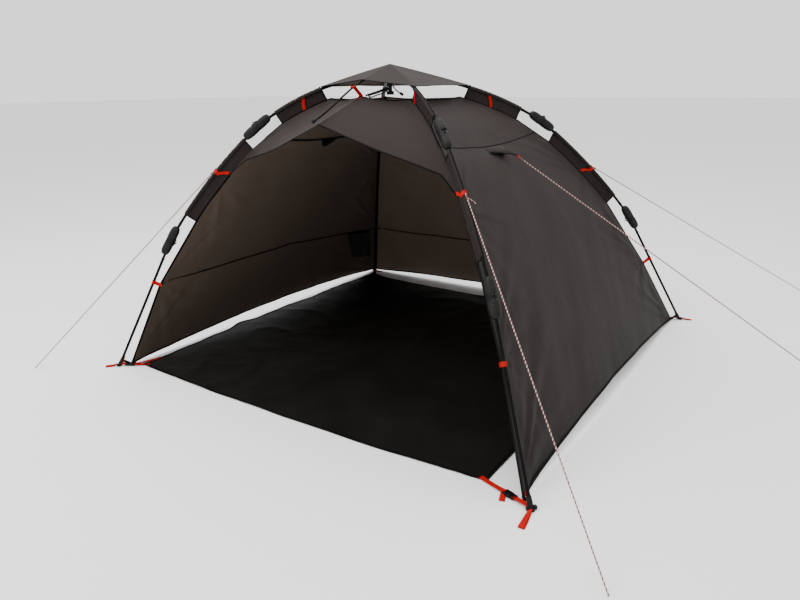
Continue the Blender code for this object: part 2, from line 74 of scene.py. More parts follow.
class Recipe:
    """A material's node tree while it is put together."""

    def __init__(self, name: str, roughness: float, metallic: float = 0.0) -> None:
        """Start from a Principled shader with its plain values."""
        self.material = bpy.data.materials.new(name)
        self.material.use_nodes = True
        self.tree = self.material.node_tree
        self.shader = self.tree.nodes["Principled BSDF"]
        self.shader.inputs["Roughness"].default_value = roughness
        self.shader.inputs["Metallic"].default_value = metallic
        self.source = self.tree.nodes.new("ShaderNodeTexCoord")

    def add(self, kind: str, values: dict[str, object], **settings: object) -> bpy.types.Node:
        """Add one node.

        Args:
            kind: the node's type name.
            values: what goes into its inputs, either a socket to link or a plain value.
            settings: the node's own properties.

        Returns:
            The new node.
        """
        node = self.tree.nodes.new(kind)
        for key, value in settings.items():
            setattr(node, key, value)
        for key, value in values.items():
            slot = node.inputs[key]
            if isinstance(value, bpy.types.NodeSocket):
                self.tree.links.new(value, slot)
            else:
                slot.default_value = value
        return node

    def stretched(self, space: str, scale: tuple[float, float, float]) -> bpy.types.NodeSocket:
        """The Object or UV coordinates, scaled along each axis."""
        node = self.add(
            "ShaderNodeMapping", {"Vector": self.source.outputs[space], "Scale": scale}
        )
        return node.outputs["Vector"]

    def cloud(
        self, vector: bpy.types.NodeSocket, scale: float, detail: float = 3.0
    ) -> bpy.types.NodeSocket:
        """Soft noise from 0 to 1."""
        node = self.add("ShaderNodeTexNoise", {"Vector": vector, "Scale": scale, "Detail": detail})
        return node.outputs["Fac"]

    def bands(self, vector: bpy.types.NodeSocket, scale: float, axis: str) -> bpy.types.NodeSocket:
        """Even sine bands along one axis; BAND_SCALE makes one of them to a unit."""
        node = self.add(
            "ShaderNodeTexWave", {"Vector": vector, "Scale": scale}, bands_direction=axis
        )
        return node.outputs["Fac"]

    def sum(
        self, operation: str, first: object, second: object
    ) -> bpy.types.NodeSocket:
        """One arithmetic step on two sockets or numbers."""
        node = self.tree.nodes.new("ShaderNodeMath")
        node.operation = operation
        for slot, value in zip(node.inputs, (first, second)):
            if isinstance(value, bpy.types.NodeSocket):
                self.tree.links.new(value, slot)
            else:
                slot.default_value = value
        return node.outputs["Value"]

    def ramp(
        self, factor: bpy.types.NodeSocket, low: float, high: float, first: Colour, last: Colour
    ) -> bpy.types.NodeSocket:
        """A colour that runs from first to last as the factor goes from low to high."""
        node = self.add("ShaderNodeValToRGB", {"Fac": factor})
        for stop, place, colour in zip(node.color_ramp.elements, (low, high), (first, last)):
            stop.position = place
            stop.color = (*colour, 1.0)
        return node.outputs["Color"]

    def colour(self, socket: bpy.types.NodeSocket) -> None:
        """Link the base colour."""
        self.tree.links.new(socket, self.shader.inputs["Base Color"])

    def rough(self, socket: bpy.types.NodeSocket, low: float, high: float) -> None:
        """Let the roughness follow a pattern between two values."""
        span = self.add(
            "ShaderNodeMapRange", {"Value": socket, "To Min": low, "To Max": high}
        )
        self.tree.links.new(span.outputs["Result"], self.shader.inputs["Roughness"])

    def bump(self, layers: Sequence[tuple[bpy.types.NodeSocket, float, float]]) -> None:
        """Stack bump layers, each a height socket, a strength and a distance in metres."""
        below = None
        for height, strength, distance in layers:
            values = {"Height": height, "Strength": strength, "Distance": distance}
            if below is not None:
                values["Normal"] = below
            below = self.add("ShaderNodeBump", values).outputs["Normal"]
        self.tree.links.new(below, self.shader.inputs["Normal"])


@dataclass(frozen=True)
class ClothFinish:
    """Coated polyester taffeta: a fine plain weave with soft creases, its colour scaled with height as
    painted shade (painted light where the ground factor is over 1).
    """

    name: str
    dark: Colour
    light: Colour
    roughness: float = 0.62
    sheen: float = 0.02
    crease: float = 0.4
    # painted shade: the colour's factor at the floor, rising to 1 at shade_height; a factor over 1 paints
    # light
    hem_shade: float = 0.52
    shade_height: float = 1.25
    thread: float = 520.0

    def build(self) -> bpy.types.Material:
        """Make the material. Returns the material."""
        made = Recipe(self.name, self.roughness)
        made.shader.inputs["Sheen Weight"].default_value = self.sheen
        made.shader.inputs["Sheen Roughness"].default_value = 0.45
        made.shader.inputs["Specular IOR Level"].default_value = 0.08
        cloth = made.stretched("UV", (1.0, 1.0, 1.0))
        warp = made.bands(cloth, self.thread, "X")
        weft = made.bands(cloth, self.thread, "Y")
        weave = made.sum("MULTIPLY", warp, weft)
        place = made.stretched("Object", (1.0, 1.0, 1.0))
        broad = made.cloud(place, 2.2, 4.0)
        crease = made.cloud(made.stretched("Object", (1.0, 1.0, 0.45)), 11.0, 5.0)
        fine = made.cloud(place, 60.0, 4.0)
        mixed = made.sum("ADD", made.sum("MULTIPLY", broad, 0.8), made.sum("MULTIPLY", fine, 0.2))
        tone = made.ramp(mixed, 0.3, 0.7, self.dark, self.light)
        # painted shade: the colour is scaled with height, from the ground factor at the floor to full at
        # shade_height, standing in for light falling off down the walls
        height = made.add("ShaderNodeSeparateXYZ", {"Vector": place}).outputs["Z"]
        darkening = {"Value": height, "From Max": self.shade_height, "To Min": self.hem_shade}
        shade = made.add("ShaderNodeMapRange", darkening).outputs["Result"]
        shaded = made.add("ShaderNodeVectorMath", {0: tone}, operation="SCALE")
        made.tree.links.new(shade, shaded.inputs["Scale"])
        made.colour(shaded.outputs["Vector"])
        made.rough(fine, self.roughness - 0.06, self.roughness + 0.08)
        made.bump(
            [
                (crease, self.crease, 0.006),
                (fine, 0.25, 0.0008),
                (weave, 0.35, 0.00012),
            ]
        )
        return made.material


@dataclass(frozen=True)
class CoatedFinish:
    """The groundsheet's slick coated cloth, crumpled from its bag."""

    name: str
    dark: Colour
    light: Colour
    thread: float = 420.0

    def build(self) -> bpy.types.Material:
        """Make the material. Returns the material."""
        made = Recipe(self.name, 0.42)
        made.shader.inputs["Specular IOR Level"].default_value = 0.05
        place = made.stretched("Object", (1.0, 1.0, 1.0))
        broad = made.cloud(place, 3.0, 5.0)
        crumple = made.add(
            "ShaderNodeTexVoronoi",
            {"Vector": place, "Scale": 9.0},
            feature="DISTANCE_TO_EDGE",
        ).outputs["Distance"]
        fine = made.cloud(place, 45.0, 6.0)
        weave = made.sum(
            "MULTIPLY",
            made.bands(made.stretched("UV", (1.0, 1.0, 1.0)), self.thread, "X"),
            made.bands(made.stretched("UV", (1.0, 1.0, 1.0)), self.thread, "Y"),
        )
        made.colour(made.ramp(broad, 0.3, 0.7, self.dark, self.light))
        made.rough(broad, 0.36, 0.56)
        made.bump([(crumple, 0.12, 0.01), (fine, 0.35, 0.002), (weave, 0.3, 0.00015)])
        return made.material


@dataclass(frozen=True)
class WebbingFinish:
    """Woven tape: ribs across it and fine cords along it. UVs are metres, U across, V along."""

    name: str
    dark: Colour
    light: Colour
    rib: float = 0.0022
    roughness: float = 0.75

    def build(self) -> bpy.types.Material:
        """Make the material. Returns the material."""
        made = Recipe(self.name, self.roughness)
        made.shader.inputs["Specular IOR Level"].default_value = 0.06
        along = made.stretched("UV", (1.0, 1.0, 1.0))
        ribs = made.bands(along, BAND_SCALE / self.rib, "Y")
        cords = made.bands(along, BAND_SCALE / (self.rib * 0.8), "X")
        weave = made.sum("MULTIPLY", ribs, cords)
        wear = made.cloud(made.stretched("Object", (1.0, 1.0, 1.0)), 40.0, 4.0)
        tone = made.sum(
            "ADD", made.sum("MULTIPLY", weave, 0.55), made.sum("MULTIPLY", wear, 0.45)
        )
        made.colour(made.ramp(tone, 0.15, 0.75, self.dark, self.light))
        made.bump([(weave, 0.6, 0.0004), (wear, 0.2, 0.0005)])
        return made.material


@dataclass(frozen=True)
class MouldedFinish:
    """Injection-moulded nylon with a fine spark-eroded grain."""

    name: str
    dark: Colour
    light: Colour
    roughness: float = 0.5

    def build(self) -> bpy.types.Material:
        """Make the material. Returns the material."""
        made = Recipe(self.name, self.roughness)
        made.shader.inputs["Specular IOR Level"].default_value = 0.14
        place = made.stretched("Object", (1.0, 1.0, 1.0))
        grain = made.cloud(place, 900.0, 2.0)
        scuff = made.cloud(place, 30.0, 6.0)
        made.colour(made.ramp(scuff, 0.35, 0.75, self.dark, self.light))
        made.rough(scuff, self.roughness - 0.1, self.roughness + 0.12)
        made.bump([(grain, 0.3, 0.0002), (scuff, 0.1, 0.0004)])
        return made.material


@dataclass(frozen=True)
class TubeFinish:
    """Painted steel tube, drawn along its length."""

    name: str
    dark: Colour
    light: Colour

    def build(self) -> bpy.types.Material:
        """Make the material. Returns the material."""
        made = Recipe(self.name, 0.36)
        made.shader.inputs["Specular IOR Level"].default_value = 0.05
        drawn = made.cloud(made.stretched("UV", (400.0, 12.0, 1.0)), 1.0, 4.0)
        scuff = made.cloud(made.stretched("Object", (1.0, 1.0, 1.0)), 55.0, 6.0)
        made.colour(made.ramp(scuff, 0.4, 0.8, self.dark, self.light))
        made.rough(drawn, 0.28, 0.48)
        made.bump([(drawn, 0.12, 0.0002)])
        return made.material


@dataclass(frozen=True)
class CordFinish:
    """Braided cord with light flecks that spiral along it. UVs are metres, U round it, V along."""

    name: str
    base: Colour
    fleck: Colour
    pitch: float = 0.014
    girth: float = 0.0160
    braid: float = 0.004

    def build(self) -> bpy.types.Material:
        """Make the material. Returns the material."""
        made = Recipe(self.name, 0.7)
        slant = made.stretched("UV", (1.0 / self.girth, 1.0 / self.pitch, 1.0))
        spiral = made.bands(slant, 2 * BAND_SCALE, "DIAGONAL")
        strands = [
            made.stretched("UV", (hand * 4.0 / self.girth, 1.0 / self.braid, 1.0)) for hand in (1, -1)
        ]
        lays = [made.bands(strand, 2 * BAND_SCALE, "DIAGONAL") for strand in strands]
        braid = made.sum("MAXIMUM", *lays)
        made.colour(made.ramp(spiral, 0.55, 0.68, self.base, self.fleck))
        made.bump([(braid, 0.7, 0.0006)])
        return made.material


@dataclass(frozen=True)
class NetFinish:
    """Open knitted net, see-through between its threads. UVs are metres."""

    name: str
    thread: Colour
    pitch: float = 0.004

    def build(self) -> bpy.types.Material:
        """Make the material. Returns the material."""
        made = Recipe(self.name, 0.8)
        made.shader.inputs["Base Color"].default_value = (*self.thread, 1.0)
        across = made.stretched("UV", (1.0 / self.pitch, 1.0 / self.pitch, 1.0))
        first = made.bands(across, BAND_SCALE, "X")
        second = made.bands(across, BAND_SCALE, "Y")
        thread = made.sum("MAXIMUM", first, second)
        solid = made.sum("GREATER_THAN", thread, 0.55)
        made.tree.links.new(solid, made.shader.inputs["Alpha"])
        made.bump([(thread, 0.5, 0.0004)])
        return made.material


@dataclass(frozen=True)
class SteelFinish:
    """Zinc-plated steel."""

    name: str
    light: Colour

    def build(self) -> bpy.types.Material:
        """Make the material. Returns the material."""
        made = Recipe(self.name, 0.35, 1.0)
        dark = tuple(value * 0.6 for value in self.light)
        scuff = made.cloud(made.stretched("Object", (1.0, 1.0, 1.0)), 120.0, 5.0)
        made.colour(made.ramp(scuff, 0.35, 0.7, dark, self.light))
        made.rough(scuff, 0.28, 0.5)
        return made.material


class Wardrobe:
    """Every finish of the tent, made once."""

    def __init__(self) -> None:
        """Build the materials."""
        self.outer = ClothFinish(
            "tent_cloth_outer", (0.0178, 0.0130, 0.0117), (0.0228, 0.0169, 0.0154)
        ).build()
        # A darker copy of the outer cloth for the sleeves and webs: painted shade of the recess between
        # pole and wall.
        self.sleeve = ClothFinish(
            "sleeve_cloth_painted_shade", (0.0125, 0.0095, 0.0086), (0.0165, 0.0126, 0.0115)
        ).build()
        # The lining is its own brown, made several times lighter as painted light that stands in for the
        # light reaching the inside.
        self.inner = ClothFinish(
            "tent_cloth_inner", (0.096, 0.070, 0.053), (0.122, 0.090, 0.069), 0.7
        ).build()
        # A lighter copy of the lining for the back wall: its ground factor over 1 paints light onto the
        # lower back wall.
        self.inner_back = ClothFinish(
            "tent_cloth_inner_back", (0.096, 0.070, 0.053), (0.122, 0.090, 0.069), 0.7, hem_shade=1.1
        ).build()
        self.black = WebbingFinish("black_binding", (0.002, 0.002, 0.002), (0.005, 0.0048, 0.0046)).build()
        self.red = WebbingFinish("red_webbing", (0.26, 0.003, 0.002), (0.46, 0.008, 0.006)).build()
        self.ground = CoatedFinish(
            "groundsheet_coating", (0.0056, 0.0049, 0.0043), (0.0092, 0.0082, 0.0072)
        ).build()
        self.ground_back = CoatedFinish(
            "groundsheet_underside", (0.010, 0.010, 0.011), (0.016, 0.016, 0.017)
        ).build()
        self.pod = MouldedFinish("elbow_nylon", (0.0055, 0.0050, 0.0047), (0.0115, 0.0105, 0.0100)).build()
        self.hub = MouldedFinish("crown_nylon", (0.002, 0.002, 0.002), (0.006, 0.006, 0.006)).build()
        self.pole = TubeFinish("pole_paint", (0.002, 0.002, 0.002), (0.006, 0.006, 0.006)).build()
        self.cord = CordFinish("guy_braid", (0.13, 0.028, 0.023), (0.42, 0.33, 0.31)).build()
        self.black_cord = CordFinish(
            "pull_cord_braid", (0.003, 0.003, 0.003), (0.010, 0.010, 0.010)
        ).build()
        self.net = NetFinish("pocket_net", (0.004, 0.004, 0.004)).build()
        self.steel = SteelFinish("zinc_steel", (0.20, 0.20, 0.19)).build()


# the frame's lines


class Corner(Enum):
    """The four legs, with the signs of their corner."""

    FRONT_LEFT = ("front_left", -1, -1)
    FRONT_RIGHT = ("front_right", 1, -1)
    REAR_LEFT = ("rear_left", -1, 1)
    REAR_RIGHT = ("rear_right", 1, 1)

    @property
    def label(self) -> str:
        """The corner's name in the part's names."""
        return self.value[0]

    @property
    def front(self) -> bool:
        """True for the two legs beside the opening."""
        return self.value[2] < 0


class Zone(Enum):
    """The three jointed lengths of a leg, with the levels between which each lies."""

    UPPER = ("upper", 0)
    MIDDLE = ("middle", 1)
    LOWER = ("lower", 2)

    @property
    def index(self) -> int:
        """The level at which the zone starts."""
        return self.value[1]


@dataclass(frozen=True)
class FramePlan:
    """The driving sizes of the frame, the same as the part's."""

    half_span: float = 1.10
    hub_y: float = -0.275
    hub_pin_radius: float = 0.045
    hub_pin_height: float = 1.372
    elbow_shares: Flat = (0.442, 0.765)
    elbow_heights: Flat = (1.150, 0.634)
    bows: tuple[float, float, float] = (0.042, 0.022, 0.0)
    pole_radius: float = 0.0065
    web: float = 0.052
    corner_inset: float = 0.056
    hem_height: float = 0.006
    ring_level: float = 0.41
    ring_front: tuple[float, float, float] = (0.0, -0.500, 1.283)
    brow_level: float = 1.36
    front_guy_level: float = 1.41
    rear_guy_level: float = 1.50
    front_guy_reach: float = 1.30
    rear_guy_reach: float = 1.60
    cap_level: float = 0.46
    upper_sleeve: Flat = (0.445, 0.83)
    middle_sleeve: Flat = (1.12, 1.78)
    strap_levels: Flat = (2.32, 2.38)
    strap_lengths: Flat = (0.029, 0.044)
    pod_reach: float = 0.12
    pivot_offset: float = 0.0262


PLAN = FramePlan()


@dataclass
class LegLine:
    """The line of one leg in its own upright plane through the hub's axis."""

    corner: Corner
    reach: float = field(init=False)
    out: Vector = field(init=False)
    side: Vector = field(init=False)
    knots: list[Vector] = field(init=False)

    def __post_init__(self) -> None:
        """Work out the plane's directions and the hinge points."""
        _, sign_x, sign_y = self.corner.value
        foot = Vector((sign_x * PLAN.half_span, sign_y * PLAN.half_span - PLAN.hub_y, 0.0))
        self.reach = foot.length
        self.out = foot.normalized()
        self.side = UP.cross(self.out)
        self.knots = [Vector((PLAN.hub_pin_radius, PLAN.hub_pin_height))]
        for share, height in zip(PLAN.elbow_shares, PLAN.elbow_heights):
            self.knots.append(Vector((share * self.reach, height)))
        self.knots.append(Vector((self.reach, 0.0)))

    @property
    def guy_level(self) -> float:
        """Where the guy line is tied."""
        return PLAN.front_guy_level if self.corner.front else PLAN.rear_guy_level

    @property
    def strap_level(self) -> float:
        """Where the lower strap ties the cloth to the pole."""
        return PLAN.strap_levels[0 if self.corner.front else 1]

    def body(self, zone: Zone) -> str:
        """The name of the moving body of one length of the leg."""
        return f"{self.corner.label}_{zone.value[0]}"

    def world(self, flat: Vector) -> Vector:
        """The point in space of a (radius, height) point of the plane."""
        return Vector((0.0, PLAN.hub_y, 0.0)) + self.out * flat.x + UP * flat.y

    def turn(self, flat: Vector) -> Vector:
        """The direction in space of a direction of the plane."""
        return self.out * flat.x + UP * flat.y

    def along(self, index: int) -> Vector:
        """The unit direction of a length's chord, hub end first."""
        return (self.knots[index + 1] - self.knots[index]).normalized()

    def outward(self, index: int) -> Vector:
        """The unit normal of a length's chord, away from the tent."""
        step = self.along(index)
        return Vector((-step.y, step.x))

    def mitre(self, index: int) -> Vector:
        """The outward unit normal at a knot, between those of the two lengths that meet there."""
        first = self.outward(max(index - 1, 0))
        return (first + self.outward(min(index, 2))).normalized()

    def normal(self, level: float) -> Vector:
        """The outward direction in the plane at a level."""
        index = min(int(level), 2)
        share = level - index
        return self.mitre(index).lerp(self.mitre(min(index + 1, 3)), share).normalized()

    def pole(self, level: float) -> Vector:
        """The pole's centre line."""
        index = min(int(level), 2)
        share = level - index
        flat = self.knots[index].lerp(self.knots[index + 1], share)
        return flat + self.outward(index) * PLAN.bows[index] * 4 * share * (1 - share)

    def web_edge(self, level: float) -> Vector:
        """The inner edge of a sleeve's web."""
        return self.pole(level) - self.normal(level) * PLAN.web

    def seam(self, level: float) -> Vector:
        """The corner seam of the cloth: along the webs, and taut between them, the strap and the foot.

        Args:
            level: the place along the leg.

        Returns:
            The seam's (radius, height) point in the leg's plane.
        """
        length = PLAN.strap_lengths[0 if self.corner.front else 1]
        hold = self.pole(self.strap_level) - self.outward(2) * length
        corner = Vector((self.reach - PLAN.corner_inset, PLAN.hem_height))
        above, below, last = PLAN.upper_sleeve[1], PLAN.middle_sleeve[0], PLAN.middle_sleeve[1]
        runs = (
            (above, below, self.web_edge(above), self.web_edge(below)),
            (last, self.strap_level, self.web_edge(last), hold),
            (self.strap_level, 3.0, hold, corner),
        )
        for start, end, first, final in runs:
            if start < level <= end:
                return first.lerp(final, (level - start) / (end - start))
        return self.web_edge(level)

    def guy_end(self) -> Vector:
        """Where the guy line meets the ground."""
        reach = PLAN.front_guy_reach if self.corner.front else PLAN.rear_guy_reach
        return self.world(Vector((self.reach * reach, 0.0)))

    def pivot(self, index: int) -> Vector:
        """The elbow's hinge point: outside the pole at the upper elbow, inside it at the lower one."""
        sign = 1 if index == 1 else -1
        return self.knots[index] + self.mitre(index) * PLAN.pivot_offset * sign


LEGS = {corner: LegLine(corner) for corner in Corner}


# mesh making


@dataclass(frozen=True)
class Station:
    """One place along a swept piece: its middle, and the directions of the outline's two axes."""

    point: Vector
    across: Vector
    lift: Vector


def loft(
    columns: int,
    rows: int,
    place: Callable[[int, int], Vector],
    size: Flat = (1.0, 1.0),
    closed: bool = False,
    capped: bool = False,
) -> bmesh.types.BMesh:
    """Shape a grid by a rule.

    Args:
        columns: steps across.
        rows: steps along.
        place: gives the point of a column and row.
        size: the piece's width and length in metres, for its UVs.
        closed: the last column lies on the first, so they are merged.
        capped: both ends are filled.

    Returns:
        The shaped bmesh.
    """
    bm = bmesh.new()
    layer = bm.loops.layers.uv.new("UVMap")
    bmesh.ops.create_grid(bm, x_segments=columns, y_segments=rows, size=0.5)
    for face in bm.faces:
        for loop in face.loops:
            u, v = loop.vert.co.x + 0.5, loop.vert.co.y + 0.5
            loop[layer].uv = (u * size[0], v * size[1])
    for vert in bm.verts:
        column = round((vert.co.x + 0.5) * columns)
        row = round((vert.co.y + 0.5) * rows)
        vert.co = place(column, row)
    if closed:
        bmesh.ops.remove_doubles(bm, verts=bm.verts, dist=1e-6)
        if capped:
            rims = [edge for edge in bm.edges if edge.is_boundary]
            bmesh.ops.holes_fill(bm, edges=rims, sides=0)
        bmesh.ops.recalc_face_normals(bm, faces=bm.faces)
    return bm


def swept(stations: Sequence[Station], outline: Sequence[Flat], looped: bool = False) -> bmesh.types.BMesh:
    """Carry a closed outline along stations.

    Args:
        stations: the places along the piece.
        outline: (across, lift) points in order round the section.
        looped: the last station lies on the first, so the piece has no ends.

    Returns:
        A closed bmesh with UVs in metres.
    """
    count = len(outline)

    def place(column: int, row: int) -> Vector:
        """The point of one outline corner at one station."""
        spot = stations[row % len(stations)]
        x, y = outline[column % count]
        return spot.point + spot.across * x + spot.lift * y

    rows = len(stations) - (0 if looped else 1)
    length = sum(
        (b.point - a.point).length for a, b in zip(stations, stations[1:])
    )
    girth = sum(
        math.dist(outline[n], outline[(n + 1) % count]) for n in range(count)
    )
    return loft(count, rows, place, (girth, length), closed=True, capped=not looped)


def round_outline(radius: float, count: int = 12, flatten: float = 1.0) -> list[Flat]:
    """A circle, or an ellipse where flatten is under 1."""
    steps = (2 * math.pi * n / count for n in range(count))
    return [(radius * math.cos(turn), radius * flatten * math.sin(turn)) for turn in steps]


def tape_outline(width: float, thickness: float) -> list[Flat]:
    """The rounded section of woven tape."""
    x, y = width / 2, thickness / 2
    edge = min(thickness * 0.45, width * 0.2)
    return [
        (-x, 0.0), (-x + edge, -y), (-x * 0.35, -y), (x * 0.35, -y), (x - edge, -y),
        (x, 0.0), (x - edge, y), (x * 0.35, y), (-x * 0.35, y), (-x + edge, y),
    ]


def binding_outline(width: float, thickness: float) -> list[Flat]:
    """Tape folded over an edge: across runs into the cloth, from the edge at zero."""
    y = thickness / 2
    return [
        (-0.0014, 0.0), (-0.0006, -y * 0.8), (0.001, -y), (width * 0.6, -y), (width, -y * 0.75),
        (width, y * 0.75), (width * 0.6, y), (0.001, y), (-0.0006, y * 0.8),
    ]


def stations_along(
    points: Sequence[Vector], lift: Vector | Sequence[Vector]
) -> list[Station]:
    """Stations on a line of points, with the lift axis given once or at each point.

    Args:
        points: the middle line.
        lift: a rough direction for the outline's second axis.

    Returns:
        Stations whose axes are square to the line.
    """
    made = []
    for n, point in enumerate(points):
        before, after = points[max(n - 1, 0)], points[min(n + 1, len(points) - 1)]
        tangent = (after - before).normalized()
        rough = lift if isinstance(lift, Vector) else lift[n]
        across = tangent.cross(rough).normalized()
        made.append(Station(point, across, across.cross(tangent).normalized()))
    return made


def banded(points: Sequence[Vector], across: Vector, width: float) -> bmesh.types.BMesh:
    """Tape along a line of points, whose width always lies along one direction."""
    stations = []
    for n, point in enumerate(points):
        before, after = points[max(n - 1, 0)], points[min(n + 1, len(points) - 1)]
        tangent = (after - before).normalized()
        stations.append(Station(point, across, tangent.cross(across).normalized()))
    return swept(stations, tape_outline(width, 0.0015))


def curve_through(points: Sequence[Vector], steps: int = 6) -> list[Vector]:
    """A smooth line through a few points.

    Args:
        points: where it passes.
        steps: how many steps each Catmull-Rom span has.

    Returns:
        The line's points.
    """
    line = []
    for n in range(len(points) - 1):
        a, b = points[max(n - 1, 0)], points[n]
        c, d = points[n + 1], points[min(n + 2, len(points) - 1)]
        for k in range(steps):
            t = k / steps
            line.append(
                0.5
                * (
                    2 * b
                    + (c - a) * t
                    + (2 * a - 5 * b + 4 * c - d) * t * t
                    + (3 * b - a - 3 * c + d) * t * t * t
                )
            )
    line.append(points[-1].copy())
    return line


def absorb(target: bmesh.types.BMesh, other: bmesh.types.BMesh, index: int | None) -> None:
    """Move another bmesh into the target, with its faces on one material index or, for None, their own."""
    if index is not None:
        for face in other.faces:
            face.material_index = index
    carrier = bpy.data.meshes.new("carrier")
    other.to_mesh(carrier)
    other.free()
    target.from_mesh(carrier)
    bpy.data.meshes.remove(carrier)


def add_piece(
    name: str,
    bm: bmesh.types.BMesh,
    materials: Sequence[bpy.types.Material],
    body: str,
    angle: float = 40.0,
) -> bpy.types.Object:
    """Turn a bmesh into a finished piece.

    Args:
        name: the piece's name.
        bm: its shape, in place.
        materials: its finishes, by material index.
        body: the body that it rides on.
        angle: edges sharper than this stay sharp.

    Returns:
        The new object.
    """
    mesh = bpy.data.meshes.new(name)
    bm.to_mesh(mesh)
    bm.free()
    for item in materials:
        mesh.materials.append(item)
    mesh.shade_smooth()
    mesh.set_sharp_from_angle(angle=math.radians(angle))
    made = bpy.data.objects.new(name, mesh)
    bpy.context.scene.collection.objects.link(made)
    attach(made, body)
    LOG.info("%s: %d faces, rides on %s", name, len(mesh.polygons), body)
    return made


def turned(
    centre: Vector, axis: Vector, radius: float, depth: float, bevel: float, segments: int = 20
) -> bmesh.types.BMesh:
    """A short cylinder with rounded rims.

    Args:
        centre: its middle.
        axis: the direction of its axis.
        radius: its radius.
        depth: its length along the axis.
        bevel: how far its rims are rounded.
        segments: how many sides it has.

    Returns:
        The shape.
    """
    bm = bmesh.new()
    place = Matrix.Translation(centre) @ axis.to_track_quat("Z", "Y").to_matrix().to_4x4()
    bmesh.ops.create_cone(
        bm, cap_ends=True, segments=segments, radius1=radius, radius2=radius, depth=depth, matrix=place
    )
    rims = [edge for edge in bm.edges if any(len(face.verts) > 4 for face in edge.link_faces)]
    bmesh.ops.bevel(
        bm, geom=rims, offset=bevel, segments=2, profile=0.5, affect="EDGES", material=-1
    )
    return bm


def slab(
    centre: Vector, axes: Sequence[Vector], size: Sequence[float], bevel: float
) -> bmesh.types.BMesh:
    """A box with rounded edges, from its centre, three directions and three sizes."""
    bm = bmesh.new()
    turn = Matrix(axes).transposed().to_4x4()
    place = Matrix.Translation(centre) @ turn @ Matrix.Diagonal((*size, 1.0))
    bmesh.ops.create_cube(bm, size=1.0, matrix=place)
    bmesh.ops.bevel(
        bm, geom=bm.edges[:], offset=bevel, segments=2, profile=0.5, affect="EDGES", material=-1
    )
    bmesh.ops.recalc_face_normals(bm, faces=bm.faces)
    return bm


# cloth


@dataclass(frozen=True)
class Pull:
    """A place where the cloth is held, from which creases fan out."""

    u: float
    level: float
    radius: float
    height: float
    count: float = 5.0


@dataclass
class WallCloth:
    """The roof and wall between two legs: u runs from the first leg to the second."""

    label: str
    first: LegLine
    second: LegLine
    face: Vector
    seed: float
    seam_sag: float = 0.025
    hem_rise: float = 0.055
    billow: float = 0.008
    broad_fold: float = 0.0055
    small_fold: float = 0.0020
    edge_fold: float = 0.0050
    pulls: list[Pull] = field(default_factory=list)

    def base(self, u: float, level: float) -> Vector:
        """The plain surface, as the part has it."""
        a = self.first.world(self.first.seam(level))
        b = self.second.world(self.second.seam(level))
        point = a.lerp(b, u)
        arch = 4 * u * (1 - u)
        if level <= 2:
            point.z -= self.seam_sag * arch * max(0.0, 1 - abs(level - 1) / 0.55)
        else:
            point.z += self.hem_rise * arch * (level - 2) ** 2
        return point

    def normal(self, u: float, level: float) -> Vector:
        """The plain surface's normal, away from the tent."""
        step = 0.01
        low, high = max(level - step, PLAN.ring_level), min(level + step, 3.0)
        across = self.base(min(u + step, 1.0), level) - self.base(max(u - step, 0.0), level)
        down = self.base(u, high) - self.base(u, low)
        made = across.cross(down).normalized()
        return -made if made.dot(self.face + UP * 0.3) < 0 else made

    def relief(self, u: float, level: float, point: Vector) -> float:
        """How far the tensioned cloth stands off the plain surface.

        Args:
            u: the place across the wall.
            level: the place down the legs.
            point: the plain surface's point there.

        Returns:
            The height along the surface's normal, in metres.
        """
        edge = smooth(min(u, 1 - u) / 0.06)
        arch = 4 * u * (1 - u)
        ends = [leg.world(leg.seam(level)) for leg in (self.first, self.second)]
        width = (ends[1] - ends[0]).length
        x, y = u * width, point.z
        height = -self.billow * arch
        soft = noise.noise(Vector((x * 4.2 + y * 1.1, y * 1.3, self.seed)))
        height += self.broad_fold * soft * arch**0.5
        soft = noise.noise(Vector((x * 8.5 - y * 2.0, y * 2.0, self.seed + 7)))
        height += self.small_fold * soft
        near = math.exp(-min(x, width - x) / 0.16) * smooth((level - 1.7) / 0.6)
        soft = noise.noise(Vector((x * 30.0 + y * 9.0, y * 2.5 - x * 4.0, self.seed + 13)))
        height += self.edge_fold * soft * near
        for pull in self.pulls:
            dx = x - pull.u * width
            dy = (level - pull.level) * 0.6
            far = math.hypot(dx, dy)
            if far < 4 * pull.radius:
                turn = math.atan2(dy, dx)
                fan = noise.noise(
                    Vector((math.cos(turn) * pull.count, math.sin(turn) * pull.count, self.seed + far))
                )
                height += pull.height * fan * math.exp(-far / pull.radius) * smooth(far / 0.05)
        return height * edge

    def at(self, u: float, level: float) -> Vector:
        """The finished surface."""
        point = self.base(u, level)
        return point + self.normal(u, level) * self.relief(u, level, point)


